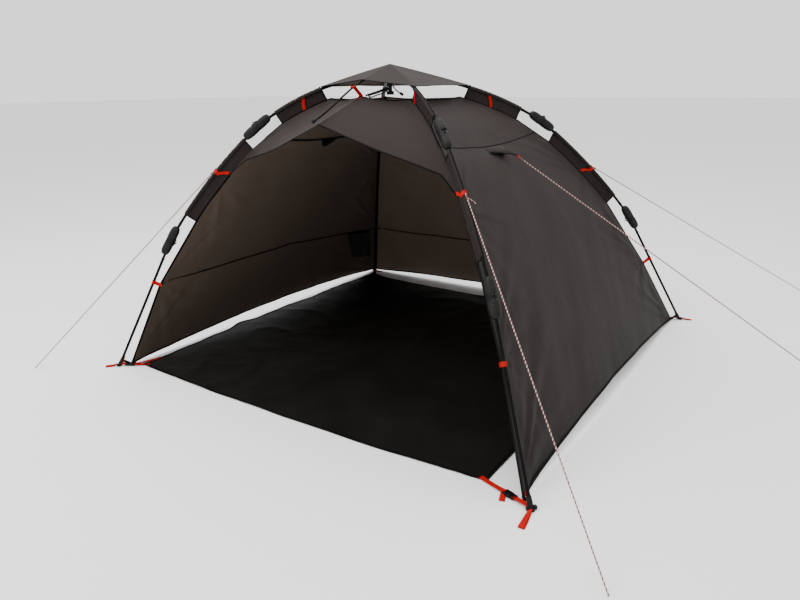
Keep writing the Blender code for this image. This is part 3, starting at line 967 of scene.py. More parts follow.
@dataclass
class BrowCloth:
    """Half of the front roof: u runs from a front leg to the ridge under the brow rod."""

    leg: LegLine
    peak: Vector
    seed: float
    edge_rise: float = 0.115
    sag: float = 0.010
    fold: float = 0.006
    crimp: float = 0.0055
    crimp_reach: float = 0.085

    def base(self, u: float, level: float) -> Vector:
        """The surface, whose front edge is cut to an arch that drops to the leg."""
        span = PLAN.brow_level - PLAN.ring_level
        share = (level - PLAN.ring_level) / span
        rise = self.edge_rise * max(1 - u, 0.0) ** 0.45 * smooth(u / 0.10)
        share -= rise * smooth((share - 0.5) / 0.5)
        level = PLAN.ring_level + span * share
        ridge = Vector(PLAN.ring_front).lerp(self.peak, share)
        return self.leg.world(self.leg.seam(level)).lerp(ridge, u)

    def normal(self, u: float, level: float) -> Vector:
        """The surface's normal, up and forward."""
        step = 0.01
        low, high = max(level - step, PLAN.ring_level), min(level + step, PLAN.brow_level)
        across = self.base(min(u + step, 1.0), level) - self.base(max(u - step, 0.0), level)
        made = across.cross(self.base(u, high) - self.base(u, low)).normalized()
        return -made if made.z < 0 else made

    def at(self, u: float, level: float) -> Vector:
        """The finished surface, with folds that run from the peak to the leg."""
        point = self.base(u, level)
        arch = 4 * u * (1 - u)
        soft = noise.noise(Vector((point.x * 3.5, (point.y + point.x * 0.4) * 5.0, self.seed)))
        height = self.fold * soft * arch**0.5 - self.sag * arch
        reach = (point - self.leg.world(self.leg.seam(level))).length
        crimp = noise.noise(Vector((reach * 42.0, level * 4.0, self.seed + 3)))
        height += self.crimp * crimp * math.exp(-reach / self.crimp_reach) * smooth(reach / 0.02)
        return point + self.normal(u, level) * height


Surface = WallCloth | BrowCloth


@dataclass(frozen=True)
class Gather:
    """The direction and the place on its leg to which a piece of cloth would gather when the frame folds.
    """

    axis: Vector
    anchor: Vector
    keep: float = 0.08

    def apply(self, piece: bpy.types.Object) -> None:
        """Give the piece its own copy of its mesh; the axis and anchor are read, but the piece is not
        flattened.
        """
        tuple(self.axis)
        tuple(self.anchor)
        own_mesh(piece)


@dataclass
class ClothPart:
    """A cut of cloth beside one leg and on one of its lengths, with its bindings and tapes."""

    name: str
    surface: Surface
    leg: LegLine
    zone: Zone
    u_span: Flat
    level_span: Flat
    step: float = 0.016
    thickness: float = 0.0009

    def middle(self) -> tuple[float, float]:
        """The u and level at the part's middle."""
        return sum(self.u_span) / 2, sum(self.level_span) / 2

    def gather(self) -> Gather:
        """The direction across the leg, in the cloth, and the place on the leg it gathers to."""
        u, level = self.middle()
        way = self.leg.turn(self.leg.along(self.zone.index))
        axis = way.cross(self.surface.normal(u, level)).normalized()
        return Gather(axis, self.leg.world(self.leg.seam(level)))

    def shape(self) -> tuple[bmesh.types.BMesh, Flat]:
        """The cloth itself as one sheet, and its flat width and length."""
        (u0, u1), (l0, l1) = self.u_span, self.level_span
        at = self.surface.at
        width = max((at(u1, lev) - at(u0, lev)).length for lev in (l0, l1))
        length = max((at(u, l1) - at(u, l0)).length for u in (u0, u1))
        columns = max(4, round(width / self.step))
        rows = max(4, round(length / self.step))

        def place(column: int, row: int) -> Vector:
            """The point of the cloth at a column and row."""
            return at(u0 + (u1 - u0) * column / columns, l0 + (l1 - l0) * row / rows)

        bm = loft(columns, rows, place, (width, length))
        bm.normal_update()
        bm.faces.ensure_lookup_table()
        probe = bm.faces[len(bm.faces) // 2]
        if probe.normal.dot(self.surface.normal(*self.middle())) < 0:
            bmesh.ops.reverse_faces(bm, faces=bm.faces)
        return bm, (width, length)

    def stations(self, path: Sequence[Flat], inset: float = 0.0) -> list[Station]:
        """Stations on the cloth along (u, level) places, lifted inwards by an inset."""
        points = [self.surface.at(*spot) for spot in path]
        normals = [self.surface.normal(*spot) for spot in path]
        points = [point - normal * inset for point, normal in zip(points, normals)]
        return stations_along(points, normals)

    def edge(self, path: Sequence[Flat], width: float = 0.011) -> bmesh.types.BMesh:
        """A binding over an edge of the cloth."""
        stations = self.stations(path)
        u, level = self.middle()
        inside = self.surface.at(u, level)
        count = len(stations) // 2
        if stations[count].across.dot(inside - stations[count].point) < 0:
            stations = [Station(s.point, -s.across, s.lift) for s in stations]
        return swept(stations, binding_outline(width, self.thickness + 0.0016))

    def tape(self, path: Sequence[Flat], width: float, side: float) -> bmesh.types.BMesh:
        """A flat tape on the inner face (side 1) or the outer one (side -1)."""
        return swept(
            self.stations(path, side * (self.thickness * 0.5 + 0.0009)), tape_outline(width, 0.0009)
        )


def run(fixed: float, start: float, end: float, along_u: bool, steps: int = 40) -> list[Flat]:
    """(u, level) places along one of the cloth's lines, the other value fixed."""
    values = [start + (end - start) * n / steps for n in range(steps + 1)]
    return [(value, fixed) if along_u else (fixed, value) for value in values]


def thicken(bm: bmesh.types.BMesh, thickness: float) -> None:
    """Give a one-sided sheet its thickness, with the new side on the second material."""
    outside = set(bm.faces)
    bmesh.ops.solidify(bm, geom=bm.faces[:], thickness=thickness)
    for face in bm.faces:
        if face not in outside:
            face.material_index = 1


@dataclass
class Cloths:
    """All of the tent's cloth: three walls with their roofs, the brow and the cap."""

    wardrobe: Wardrobe
    peak: Vector = field(default_factory=lambda: Vector((0.0, -0.793, 1.179)))
    apex: float = 1.4175
    cap_lift: float = 0.0125
    cap_front: Vector = field(default_factory=lambda: Vector((0.0, -0.490, 1.3500)))
    seam_front: float = 2.32
    seam_middle: float = 2.265
    seam_rear: float = 2.38

    def __post_init__(self) -> None:
        """Set out the surfaces."""
        fl, fr = LEGS[Corner.FRONT_LEFT], LEGS[Corner.FRONT_RIGHT]
        rl, rr = LEGS[Corner.REAR_LEFT], LEGS[Corner.REAR_RIGHT]
        holds = [
            Pull(u, level, radius, height)
            for u in (0.0, 1.0)
            for level, radius, height in ((3.0, 0.30, 0.026), (2.32, 0.22, 0.022), (1.45, 0.22, 0.018))
        ]
        self.walls = {
            "right": WallCloth("right", fr, rr, Vector((1, 0, 0)), 3.1, pulls=holds),
            "back": WallCloth("back", rr, rl, Vector((0, 1, 0)), 11.7, hem_rise=0.036, pulls=holds),
            "left": WallCloth("left", rl, fl, Vector((-1, 0, 0)), 23.9, pulls=holds),
        }
        self.brows = {
            "left": BrowCloth(fl, self.peak, 5.3),
            "right": BrowCloth(fr, self.peak, 8.9),
        }
        self.parts: dict[str, ClothPart] = {}

    def build(self) -> None:
        """Make every cloth."""
        for side, cloth in self.walls.items():
            self.build_wall(side, cloth)
        for side, cloth in self.brows.items():
            self.build_brow(side, cloth)
        self.build_cap()

    def finish_part(
        self, part: ClothPart, trims: Sequence[bmesh.types.BMesh], bm: bmesh.types.BMesh, flat: Flat,
    ) -> bpy.types.Object:
        """Args:
            part: the cut.
            trims: its bindings and tapes.
            bm: its one-sided shape.
            flat: its width and length before it was hung.

        Returns:
            The finished piece.
        """
        area = sum(face.calc_area() for face in bm.faces)
        thicken(bm, part.thickness)
        for trim in trims:
            absorb(bm, trim, 2)
        # The back wall takes the lining copy with painted light.
        lining = self.wardrobe.inner_back if part.name.startswith("wall_back") else self.wardrobe.inner
        finishes = (self.wardrobe.outer, lining, self.wardrobe.black)
        piece = add_piece(part.name, bm, finishes, part.leg.body(part.zone))
        flat = (max(flat[0], 0.02), max(flat[1], area / flat[0]))
        part.gather().apply(piece)
        self.parts[part.name] = part
        return piece

    def build_wall(self, side: str, cloth: WallCloth) -> None:
        """Both halves of one wall and its roof, in three zones each.

        Args:
            side: the wall's name in the part.
            cloth: its surface.
        """
        halves = ((cloth.first, (0.0, 0.5)), (cloth.second, (1.0, 0.5)))
        spans = ((Zone.UPPER, PLAN.ring_level, 1.0), (Zone.MIDDLE, 1.0, 2.0), (Zone.LOWER, 2.0, 3.0))
        for leg, (near, far) in halves:
            for zone, start, end in spans:
                kind = "roof" if zone is Zone.UPPER else "wall"
                name = f"{kind}_{side}_{leg.corner.label}_{zone.value[0]}"
                part = ClothPart(name, cloth, leg, zone, tuple(sorted((near, far))), (start, end))
                bm, flat = part.shape()
                trims = self.wall_trims(part, leg, near, far)
                piece = self.finish_part(part, trims, bm, flat)
                if leg is cloth.first and zone is not Zone.LOWER:
                    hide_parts(f"{kind}_{side}")

    def wall_trims(
        self, part: ClothPart, leg: LegLine, near: float, far: float
    ) -> list[bmesh.types.BMesh]:
        """The black tapes and bindings of one cut of wall or roof.

        Args:
            part: the cut.
            leg: the leg beside it.
            near: u at the leg.
            far: u at the wall's middle.

        Returns:
            A bmesh for each trim.
        """
        start, end = part.level_span
        trims = []
        if part.zone is Zone.UPPER:
            trims.append(part.edge(run(PLAN.ring_level, near, far, True), 0.010))
            trims.append(part.tape(run(0.9985, near, far, True), 0.014, 1.0))
            trims.append(part.tape(run(0.9975, near, far, True), 0.0035, -1.0))
        if part.zone is Zone.LOWER:
            trims.append(part.edge(run(3.0, near, far, True)))
            level = self.seam_front if leg.corner.front else self.seam_rear
            middle = self.seam_rear if part.surface.label == "back" else self.seam_middle
            path = [
                (near + (far - near) * n / 40, level + (middle - level) * n / 40) for n in range(41)
            ]
            trims.append(part.tape(path, 0.011, 1.0))
        if part.zone is not Zone.UPPER and leg.corner.front:
            first = max(start, PLAN.brow_level)
            trims.append(part.edge(run(near, first, end, False, 60), 0.013))
        else:
            shift = 0.004 if near < far else -0.004
            trims.append(part.tape(run(near + shift, start, end, False), 0.014, 1.0))
            trims.append(part.tape(run(near + shift / 2, start, end, False), 0.006, -1.0))
        return trims

    def build_brow(self, side: str, cloth: BrowCloth) -> None:
        """One half of the front roof, split at the upper elbow.

        Args:
            side: the half's name in the part.
            cloth: its surface.
        """
        leg = cloth.leg
        spans = ((Zone.UPPER, PLAN.ring_level, 1.0), (Zone.MIDDLE, 1.0, PLAN.brow_level))
        for zone, start, end in spans:
            name = f"brow_{side}_{zone.value[0]}"
            part = ClothPart(name, cloth, leg, zone, (0.0, 1.0), (start, end))
            bm, flat = part.shape()
            trims = [part.tape(run(0.004, start, end, False), 0.014, 1.0)]
            if zone is Zone.UPPER:
                trims.append(part.edge(run(PLAN.ring_level, 0.0, 1.0, True), 0.010))
            else:
                trims.append(part.edge(run(PLAN.brow_level, 0.0, 1.0, True, 60), 0.006))
            piece = self.finish_part(part, trims, bm, flat)
            if zone is Zone.UPPER:
                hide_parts(f"brow_{side}")

    def build_cap(self) -> None:
        """The crown's vent cap, a quarter to each leg."""
        order = [Corner.FRONT_LEFT, Corner.FRONT_RIGHT, Corner.REAR_RIGHT, Corner.REAR_LEFT]
        apex = Vector((0.0, PLAN.hub_y, self.apex))
        tips = [
            LEGS[corner].world(LEGS[corner].pole(PLAN.cap_level)) + UP * self.cap_lift for corner in order
        ]
        for n, corner in enumerate(order):
            leg, tip = LEGS[corner], tips[n]
            before, after = (
                self.cap_front
                if leg.corner.front and other.y < PLAN.hub_y
                else (tip + other) / 2 + UP * 0.003
                for other in (tips[n - 1], tips[(n + 1) % 4])
            )
            columns, rows = 28, 16

            def place(column: int, row: int) -> Vector:
                """A point of the quarter: columns round its rim, rows from the apex down."""
                u, v = column / columns, row / rows
                half = abs(2 * u - 1)
                rim = tip.lerp(before if u < 0.5 else after, half)
                point = apex.lerp(rim, v)
                sag = 0.004 * math.sin(math.pi * v) * half - 0.0025 * math.sin(math.pi * v)
                ripple = noise.noise(Vector((point.x * 9, point.y * 9, 2.0))) * 0.0016 * half * v
                point.z += ripple - sag
                return point

            bm = loft(columns, rows, place, (0.36, 0.3))
            bmesh.ops.remove_doubles(bm, verts=bm.verts, dist=1e-6)
            bm.normal_update()
            bm.faces.ensure_lookup_table()
            if bm.faces[len(bm.faces) // 2].normal.z < 0:
                bmesh.ops.reverse_faces(bm, faces=bm.faces)
            rim = [place(column, rows) for column in range(columns + 1)]
            stations = stations_along(rim, UP)
            centre = place(columns // 2, rows // 2)
            if stations[columns // 2].across.dot(centre - stations[columns // 2].point) < 0:
                stations = [Station(s.point, -s.across, s.lift) for s in stations]
            area = sum(face.calc_area() for face in bm.faces)
            thicken(bm, 0.0009)
            absorb(bm, swept(stations, binding_outline(0.009, 0.0026)), 2)
            finishes = (self.wardrobe.outer, self.wardrobe.inner, self.wardrobe.black)
            piece = add_piece(f"cap_{corner.label}", bm, finishes, leg.body(Zone.UPPER))
            Gather(leg.side, tip, 0.12).apply(piece)
            if corner is Corner.FRONT_RIGHT:
                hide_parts("cap")


# poles, elbows and sleeves


@dataclass
class PoleWork:
    """The four legs: their poles, elbow housings, feet and cloth sleeves."""

    wardrobe: Wardrobe
    pod_length: float = 0.150
    pod_width: float = 0.0215
    pod_depth: float = 0.0195
    gap: float = 0.0004
    barrel_radius: float = 0.0030
    barrel_width: float = 0.008
    collar: float = 0.014
    sleeve_radius: float = 0.0087

    def build(self) -> None:
        """Make the pieces of every leg."""
        for leg in LEGS.values():
            for zone in Zone:
                self.build_pole(leg, zone)
            self.build_sleeve(leg, Zone.UPPER, PLAN.upper_sleeve)
            self.build_sleeve(leg, Zone.MIDDLE, PLAN.middle_sleeve)

    def build_pole(self, leg: LegLine, zone: Zone) -> None:
        """One length of a leg, with the housing halves, knuckle or foot at its ends.

        Args:
            leg: the leg's line.
            zone: which of its lengths.
        """
        index = zone.index
        start = index + (0.0175 if index == 0 else 0.03)
        end = index + (0.97 if index < 2 else 0.992)
        count = 48
        levels = [start + (end - start) * n / count for n in range(count + 1)]
        points = [leg.world(leg.pole(level)) for level in levels]
        bm = swept(stations_along(points, leg.side), round_outline(PLAN.pole_radius, 20))
        absorb(bm, self.ferrules(leg, index), 0)
        if index > 0:
            absorb(bm, self.pod_half(leg, index, False), None)
        if index < 2:
            absorb(bm, self.pod_half(leg, index + 1, True), None)
        if index == 0:
            absorb(bm, self.knuckle(leg), 3)
        if index == 2:
            absorb(bm, self.foot(leg), 3)
        name = f"{zone.value[0]}_leg_{leg.corner.label}"
        finishes = (self.wardrobe.pole, self.wardrobe.pod, self.wardrobe.steel, self.wardrobe.hub)
        piece = add_piece(name, bm, finishes, leg.body(zone), 32.0)
        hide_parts(f"{zone.value[0]}_pole_{leg.corner.label}")

    def ferrules(self, leg: LegLine, index: int) -> bmesh.types.BMesh:
        """The swaged collars where the tube enters its housings."""
        bm = bmesh.new()
        reach = {0: (0.845, 0.93), 1: (1.085, 1.105, 1.865, 1.905), 2: (2.14,)}[index]
        for level in reach:
            here, ahead = leg.world(leg.pole(level)), leg.world(leg.pole(level + 0.01))
            ring = turned(here, (ahead - here).normalized(), PLAN.pole_radius + 0.0011, 0.007, 0.0007)
            absorb(bm, ring, 0)
        return bm

    def pod_half(self, leg: LegLine, index: int, upper: bool) -> bmesh.types.BMesh:
        """Half of an elbow housing: a moulded shell with faint grip ribs and a black collar at the hinge.

        Args:
            leg: the leg's line.
            index: the elbow's level.
            upper: the half on the hub's side of the hinge.

        Returns:
            The half, with its own material indices.
        """
        reach = PLAN.pod_reach
        step = (leg.pole(index + reach) - leg.pole(index - reach)).normalized()
        way = leg.turn(step) * (-1 if upper else 1)
        lift = leg.turn(Vector((-step.y, step.x)))
        centre = leg.world(leg.knots[index])
        half = self.pod_length / 2
        rows, columns = 44, 32

        def place(column: int, row: int) -> Vector:
            """A point of the shell: rows from past the hinge plane to the tip."""
            far = (half + 0.012) * (1 - (1 - row / rows) ** 1.5) - 0.012
            share = min(max(far / half, 0.0), 1.0)
            size = 0.34 + 0.66 * max(1 - share**5, 0.0) ** 0.5
            if far < self.collar:
                size -= 0.06
            elif share < 0.72:
                wave = math.sin(share * half / 0.0105 * 2 * math.pi)
                size -= 0.0008 / self.pod_width * max(0.0, wave) ** 6
            if column % (columns // 2) == columns // 4:
                size -= 0.0006 / self.pod_width
            turn = 2 * math.pi * column / columns
            c, s = math.cos(turn), math.sin(turn)
            x = math.copysign(abs(c) ** 0.8, c) * self.pod_depth * size
            y = math.copysign(abs(s) ** 0.8, s) * self.pod_width * size
            return centre + way * far + leg.side * x + lift * y

        bm = loft(columns, rows, place, (0.12, half), closed=True, capped=True)
        split = leg.mitre(index)
        face = leg.turn(Vector((split.y, -split.x)))
        normal = face if upper else -face
        cut = bmesh.ops.bisect_plane(
            bm,
            geom=bm.verts[:] + bm.edges[:] + bm.faces[:],
            plane_co=centre - normal * self.gap,
            plane_no=normal,
            clear_outer=True,
        )
        rim = [item for item in cut["geom_cut"] if isinstance(item, bmesh.types.BMEdge)]
        bmesh.ops.holes_fill(bm, edges=rim, sides=0)
        bmesh.ops.recalc_face_normals(bm, faces=bm.faces)
        for item in bm.faces:
            inner = (item.calc_center_median() - centre).dot(way) < self.collar
            item.material_index = 3 if inner else 1
        pivot = leg.world(leg.pivot(index))
        inward = (centre - pivot).normalized()
        offset = self.barrel_width * 0.8 + self.gap
        places = ((-offset, 0.6), (offset, 0.6)) if upper else ((0.0, 1.0),)
        for spot, share in places:
            width = self.barrel_width * share
            ring = turned(pivot + leg.side * spot, leg.side, self.barrel_radius, width, 0.0005)
            absorb(bm, ring, 3)
            leaf = slab(
                pivot + leg.side * spot + way * 0.0085 + inward * 0.0045,
                (leg.side, lift, way),
                (width * 0.96, 0.0040, 0.014),
                0.0006,
            )
            absorb(bm, leaf, 3)
        for sign in (-1, 1):
            for across in (-1, 1):
                rivet = centre + way * 0.0095 + leg.side * across * 0.0062
                rivet += lift * sign * self.pod_width * 0.94
                absorb(bm, turned(rivet, lift, 0.0015, 0.0014, 0.0004, 12), 2)
            screw = centre + way * half * 0.52 + leg.side * sign * self.pod_depth * 0.96
            absorb(bm, turned(screw, leg.side, 0.0034, 0.0016, 0.0005, 16), 3)
        return bm

    def knuckle(self, leg: LegLine) -> bmesh.types.BMesh:
        """The eye that turns on the hub's pin."""
        knot = leg.world(leg.knots[0])
        way = leg.turn(leg.along(0))
        bm = turned(knot, leg.side, 0.0077, 0.0078, 0.0008)
        neck = slab(
            knot + way * 0.0125, (leg.side, way.cross(leg.side), way), (0.0076, 0.0092, 0.016), 0.0012
        )
        absorb(bm, neck, 0)
        collar = turned(knot + way * 0.030, way, 0.0083, 0.022, 0.0012)
        absorb(bm, collar, 0)
        return bm

    def foot(self, leg: LegLine) -> bmesh.types.BMesh:
        """The moulded foot: a boot with a splayed base and two ears for the webbing.

        Args:
            leg: the leg's line.

        Returns:
            The foot's bmesh.
        """
        ground = leg.world(leg.knots[3])
        way = -leg.turn(leg.along(2))
        bm = bmesh.new()
        profile = (
            (0.0, 0.0118), (0.003, 0.0125), (0.010, 0.0122), (0.016, 0.0102),
            (0.034, 0.0098), (0.046, 0.0092), (0.050, 0.0078),
        )
        rows, columns = len(profile) - 1, 24

        def place(column: int, row: int) -> Vector:
            """A point of the boot: rows from the ground up the pole."""
            rise, radius = profile[row]
            turn = 2 * math.pi * column / columns
            point = ground + way * rise
            spread = leg.out * math.cos(turn) + leg.side * math.sin(turn)
            return Vector((point.x, point.y, max(point.z, 0.0005))) + spread * radius

        absorb(bm, loft(columns, rows, place, (0.07, 0.05), closed=True, capped=True), 0)
        for sign in (-1, 1):
            ear = slab(
                ground + UP * 0.010 + leg.side * sign * 0.0135,
                (leg.side, leg.out, UP),
                (0.012, 0.014, 0.013),
                0.002,
            )
            absorb(bm, ear, 0)
        return bm

    def build_sleeve(self, leg: LegLine, zone: Zone, span: Flat) -> None:
        """The cloth tunnel round the pole and the two-layer web down to the corner seam.

        Args:
            leg: the leg's line.
            zone: the length of the leg that it covers.
            span: the levels between which it runs.
        """
        rows, columns = 64, 20
        seed = 31.0 + leg.reach * 7 + zone.index

        def tunnel(column: int, row: int) -> Vector:
            """A point of the tunnel, ruched round the pole."""
            level = span[0] + (span[1] - span[0]) * row / rows
            turn = 2 * math.pi * (column % columns) / columns
            out, flat = leg.turn(leg.normal(level)), leg.world(leg.pole(level))
            pucker = noise.noise(Vector((math.cos(turn) * 1.3, math.sin(turn) * 1.3, row * 0.55 + seed)))
            radius = self.sleeve_radius + 0.0012 * pucker + (0.0007 if row in (0, 1, rows - 1, rows) else 0)
            return flat + out * math.cos(turn) * radius + leg.side * math.sin(turn) * radius

        length = (leg.pole(span[1]) - leg.pole(span[0])).length
        girth = 2 * math.pi * self.sleeve_radius
        bm = loft(columns, rows, tunnel, (girth, length), closed=True)
        area = sum(face.calc_area() for face in bm.faces)
        thicken(bm, 0.0008)
        levels = [span[0] + (span[1] - span[0]) * n / rows for n in range(rows + 1)]
        ridge = [
            leg.world(leg.pole(level)) + leg.turn(leg.normal(level)) * (self.sleeve_radius + 0.0009)
            for level in levels
        ]
        normals = [leg.turn(leg.normal(level)) for level in levels]
        absorb(bm, swept(stations_along(ridge, normals), tape_outline(0.0055, 0.0010)), 2)
        # The tunnel and web take the darker sleeve copy of the cloth, painted shade by the pole.
        cloths = (self.wardrobe.sleeve, self.wardrobe.inner, self.wardrobe.black)
        name = f"{zone.value[0]}_sleeve_tunnel_{leg.corner.label}"
        piece = add_piece(name, bm, cloths, leg.body(zone))
        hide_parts(f"{zone.value[0]}_sleeve_{leg.corner.label}")

        def web(column: int, row: int) -> Vector:
            """A point of the web, rippled where it is gathered on the pole."""
            level = span[0] + (span[1] - span[0]) * row / rows
            outer, inner = leg.world(leg.pole(level)), leg.world(leg.seam(level))
            inward = (inner - outer).normalized()
            share = column / 8
            point = (outer + inward * self.sleeve_radius * 0.85).lerp(inner, share)
            ripple = noise.noise(Vector((share * 0.8, row * 0.32, seed + 9)))
            ripple += 0.5 * noise.noise(Vector((share * 2.0, row * 0.9, seed + 19)))
            ends = 1 + 1.3 * math.exp(-min(row, rows - row) / 7)
            return point + leg.side * 0.0034 * ripple * ends * (1 - share * 0.85)

        depth = PLAN.web - self.sleeve_radius
        bm = loft(8, rows, web, (depth, length))
        area = sum(face.calc_area() for face in bm.faces)
        thicken(bm, 0.0012)
        for face in bm.faces:
            face.material_index = 0
        for row in (0, rows):
            line = [web(column, row) for column in range(9)]
            stations = stations_along(line, leg.side)
            absorb(bm, swept(stations, tape_outline(0.007, 0.0026)), 2)
        piece = add_piece(name.replace("tunnel", "web"), bm, cloths, leg.body(zone))
        middle = sum(span) / 2
        out = leg.turn(leg.normal(middle))
        Gather(out, leg.world(leg.pole(middle)) - out * 0.009, 0.25).apply(piece)


# webbing and ground gear


@dataclass
class GroundGear:
    """The groundsheet, its corner straps with buckles, peg loops, the lower straps and the red tabs for the
    guy lines.
    """

    wardrobe: Wardrobe
    left: float = -1.004
    right: float = 0.903
    front: float = -1.030
    back: float = 0.962
    strap_width: float = 0.021
    floor_gap: float = 0.0002
    buckle_share: float = 0.56
    loops: dict[Corner, tuple[float, float, float]] = field(
        default_factory=lambda: {
            Corner.FRONT_LEFT: (-0.045, -0.045, 0.0),
            Corner.FRONT_RIGHT: (0.010, -0.105, 0.0),
            Corner.REAR_LEFT: (-0.062, 0.020, 0.0),
            Corner.REAR_RIGHT: (0.062, 0.020, 0.0),
        }
    )
    tails: dict[Corner, tuple[float, float, float]] = field(
        default_factory=lambda: {
            Corner.FRONT_LEFT: (0.020, 0.130, 0.0),
            Corner.FRONT_RIGHT: (0.018, -0.050, 0.0),
            Corner.REAR_LEFT: (0.050, 0.020, 0.0),
            Corner.REAR_RIGHT: (-0.050, 0.020, 0.0),
        }
    )

    def build(self) -> None:
        """Make the ground pieces."""
        self.build_sheet()
        for leg in LEGS.values():
            self.build_corner(leg)
            self.build_lower_strap(leg)
            self.build_tabs(leg)

    def rise(self, x: float, y: float) -> float:
        """The groundsheet's creases: low ridges that cross it and fan from its corners."""
        broad = noise.noise(Vector((x * 1.6, y * 1.6, 4.0)))
        ridge = 1 - abs(noise.noise(Vector((x * 3.1 + y * 0.6, y * 2.6, 9.0)))) * 2.6
        cross = 1 - abs(noise.noise(Vector((x * 5.7, y * 6.9 - x, 17.0)))) * 3.2
        height = 0.0035 * max(0.0, ridge) ** 3 + 0.0018 * max(0.0, cross) ** 2
        return 0.0012 + height * (0.45 + 0.55 * smooth(broad + 0.6)) + 0.0012 * smooth(broad)

    def build_sheet(self) -> None:
        """The groundsheet with its wavy edges and bound hem."""
        width, depth = self.right - self.left, self.back - self.front
        columns, rows = 110, 114

        def spot(u: float, v: float) -> Vector:
            """A point of the sheet: u to the right, v to the back."""
            x, y = self.left + width * u, self.front + depth * v
            fade = 4 * v * (1 - v)
            wave = noise.noise(Vector((v * 7.0, 0.0, 3.3)))
            wave += 0.6 * noise.noise(Vector((v * 19.0, 0.0, 6.1)))
            bump = math.exp(-(((v - 0.36) / 0.045) ** 2))
            x -= (0.034 * fade + 0.020 * wave * fade + 0.026 * bump) * (1 - u) ** 6
            x -= 0.022 * (0.5 + noise.noise(Vector((v * 5.0, 2.0, 8.0)))) * fade * u**6
            fade = 4 * u * (1 - u)
            y -= 0.078 * fade**0.4 * v**6
            ripple = noise.noise(Vector((u * 6.0, 5.0, 1.0)))
            y -= (0.030 * fade + 0.006 * ripple * fade) * (1 - v) ** 6
            edge = min(u, 1 - u, v, 1 - v)
            curl = max(0.0, noise.noise(Vector((x * 4.5, y * 4.5, 12.0))))
            lift = 0.006 * curl * (1 - smooth(edge / 0.06))
            return Vector((x, y, self.rise(x, y) + lift))

        bm = loft(columns, rows, lambda c, r: spot(c / columns, r / rows), (width, depth))
        thicken(bm, -0.0009)
        for vert in bm.verts:
            vert.co.z = max(vert.co.z, self.floor_gap)
        edges = (
            [spot(n / 90, 0.0) for n in range(91)],
            [spot(1.0, n / 90) for n in range(91)],
            [spot(1 - n / 90, 1.0) for n in range(91)],
            [spot(0.0, 1 - n / 90) for n in range(91)],
        )
        for line in edges:
            stations = stations_along([point + UP * 0.0008 for point in line], UP)
            stations = [Station(s.point, -s.across, s.lift) for s in stations]
            absorb(bm, swept(stations, binding_outline(0.014, 0.0022)), 2)
        bm.verts.ensure_lookup_table()
        finishes = (self.wardrobe.ground_back, self.wardrobe.ground, self.wardrobe.black)
        piece = add_piece("groundsheet_cloth", bm, finishes, "root")
        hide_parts("groundsheet")

    def webbing(
        self, points: Sequence[Vector], lift: Vector, width: float | None = None
    ) -> bmesh.types.BMesh:
        """Red webbing along a smooth line through some points."""
        line = curve_through(points, 8)
        return swept(stations_along(line, lift), tape_outline(width or self.strap_width, 0.0018))

    def build_corner(self, leg: LegLine) -> None:
        """The strap from the groundsheet's corner to the foot, its buckle, and the peg loop.

        Args:
            leg: the line of the leg at that corner.
        """
        _, sign_x, sign_y = leg.corner.value
        edge = Vector((self.left if sign_x < 0 else self.right, self.back, 0))
        if sign_y < 0:
            edge.y = self.front
        foot = leg.world(leg.knots[3])
        way = Vector((foot.x - edge.x, foot.y - edge.y, 0.0))
        total = way.length - 0.018
        way.normalize()
        across = way.cross(UP)
        near = edge - way * 0.030
        buckle = edge + way * (total * self.buckle_share)

        def lay(share: float, height: float) -> Vector:
            """A point of the strap: a distance from the sheet's corner, and a height."""
            return edge + way * share + UP * height

        start = [near + UP * 0.0050, lay(0.0, 0.0048), lay(total * 0.25, 0.0062)]
        start.append(buckle - way * 0.020 + UP * 0.0085)
        bm = self.webbing(start, UP)
        root = buckle - way * 0.026
        tip = Vector(self.tails[leg.corner])
        loose = [
            buckle - way * 0.016 + UP * 0.0125,
            root + UP * 0.0120,
            root + tip * 0.35 + UP * 0.0070,
            root + tip * 0.70 + UP * 0.0030,
            root + tip + UP * 0.0024,
        ]
        absorb(bm, self.flared(loose, UP, 0.013, 0.022), 0)
        self.add_buckle(bm, buckle, way, across, True)
        finishes = (self.wardrobe.red, self.wardrobe.hub, self.wardrobe.black)
        piece = add_piece(f"sheet_strap_{leg.corner.label}", bm, finishes, "root")
        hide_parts(f"corner_strap_{leg.corner.label}")
        hold = foot - way * 0.0125
        rise = [
            buckle + way * 0.020 + UP * 0.0085,
            buckle + way * 0.034 + UP * 0.0095,
            hold - way * 0.004 + UP * 0.013,
            hold + UP * 0.016,
        ]
        bm = self.webbing(rise, UP)
        self.add_buckle(bm, buckle, way, across, False)
        corner = leg.world(leg.seam(3.0))
        sling = [corner + UP * 0.004, corner.lerp(foot, 0.45) + UP * 0.020]
        sling.append(foot + UP * 0.030 - leg.out * 0.012)
        absorb(bm, self.webbing(sling, leg.side, 0.016), 2)
        if leg.corner.front:
            inner = leg.turn(leg.outward(2))
            tie = [leg.world(leg.pole(level)) - inner * 0.0085 for level in (2.915, 2.95, 2.975)]
            absorb(bm, self.webbing(tie, inner, 0.013), 0)
        end = Vector(self.loops[leg.corner])
        side = end.normalized().cross(UP)
        for layer in (-1, 1):
            strip = [
                foot + end.normalized() * 0.010 + UP * (0.0105 + 0.0012 * layer),
                foot + end * 0.45 + UP * (0.0050 + 0.0016 * layer) + side * 0.0015 * layer,
                foot + end + UP * (0.0026 + 0.0010 * layer) + side * 0.0030 * layer,
            ]
            absorb(bm, self.flared(strip, UP, 0.013, 0.019), 0)
        fold = foot + end + UP * 0.0026
        absorb(bm, turned(fold, side, 0.0021, 0.019, 0.0008, 10), 0)
        add_piece(f"foot_webbing_{leg.corner.label}", bm, finishes, leg.body(Zone.LOWER))

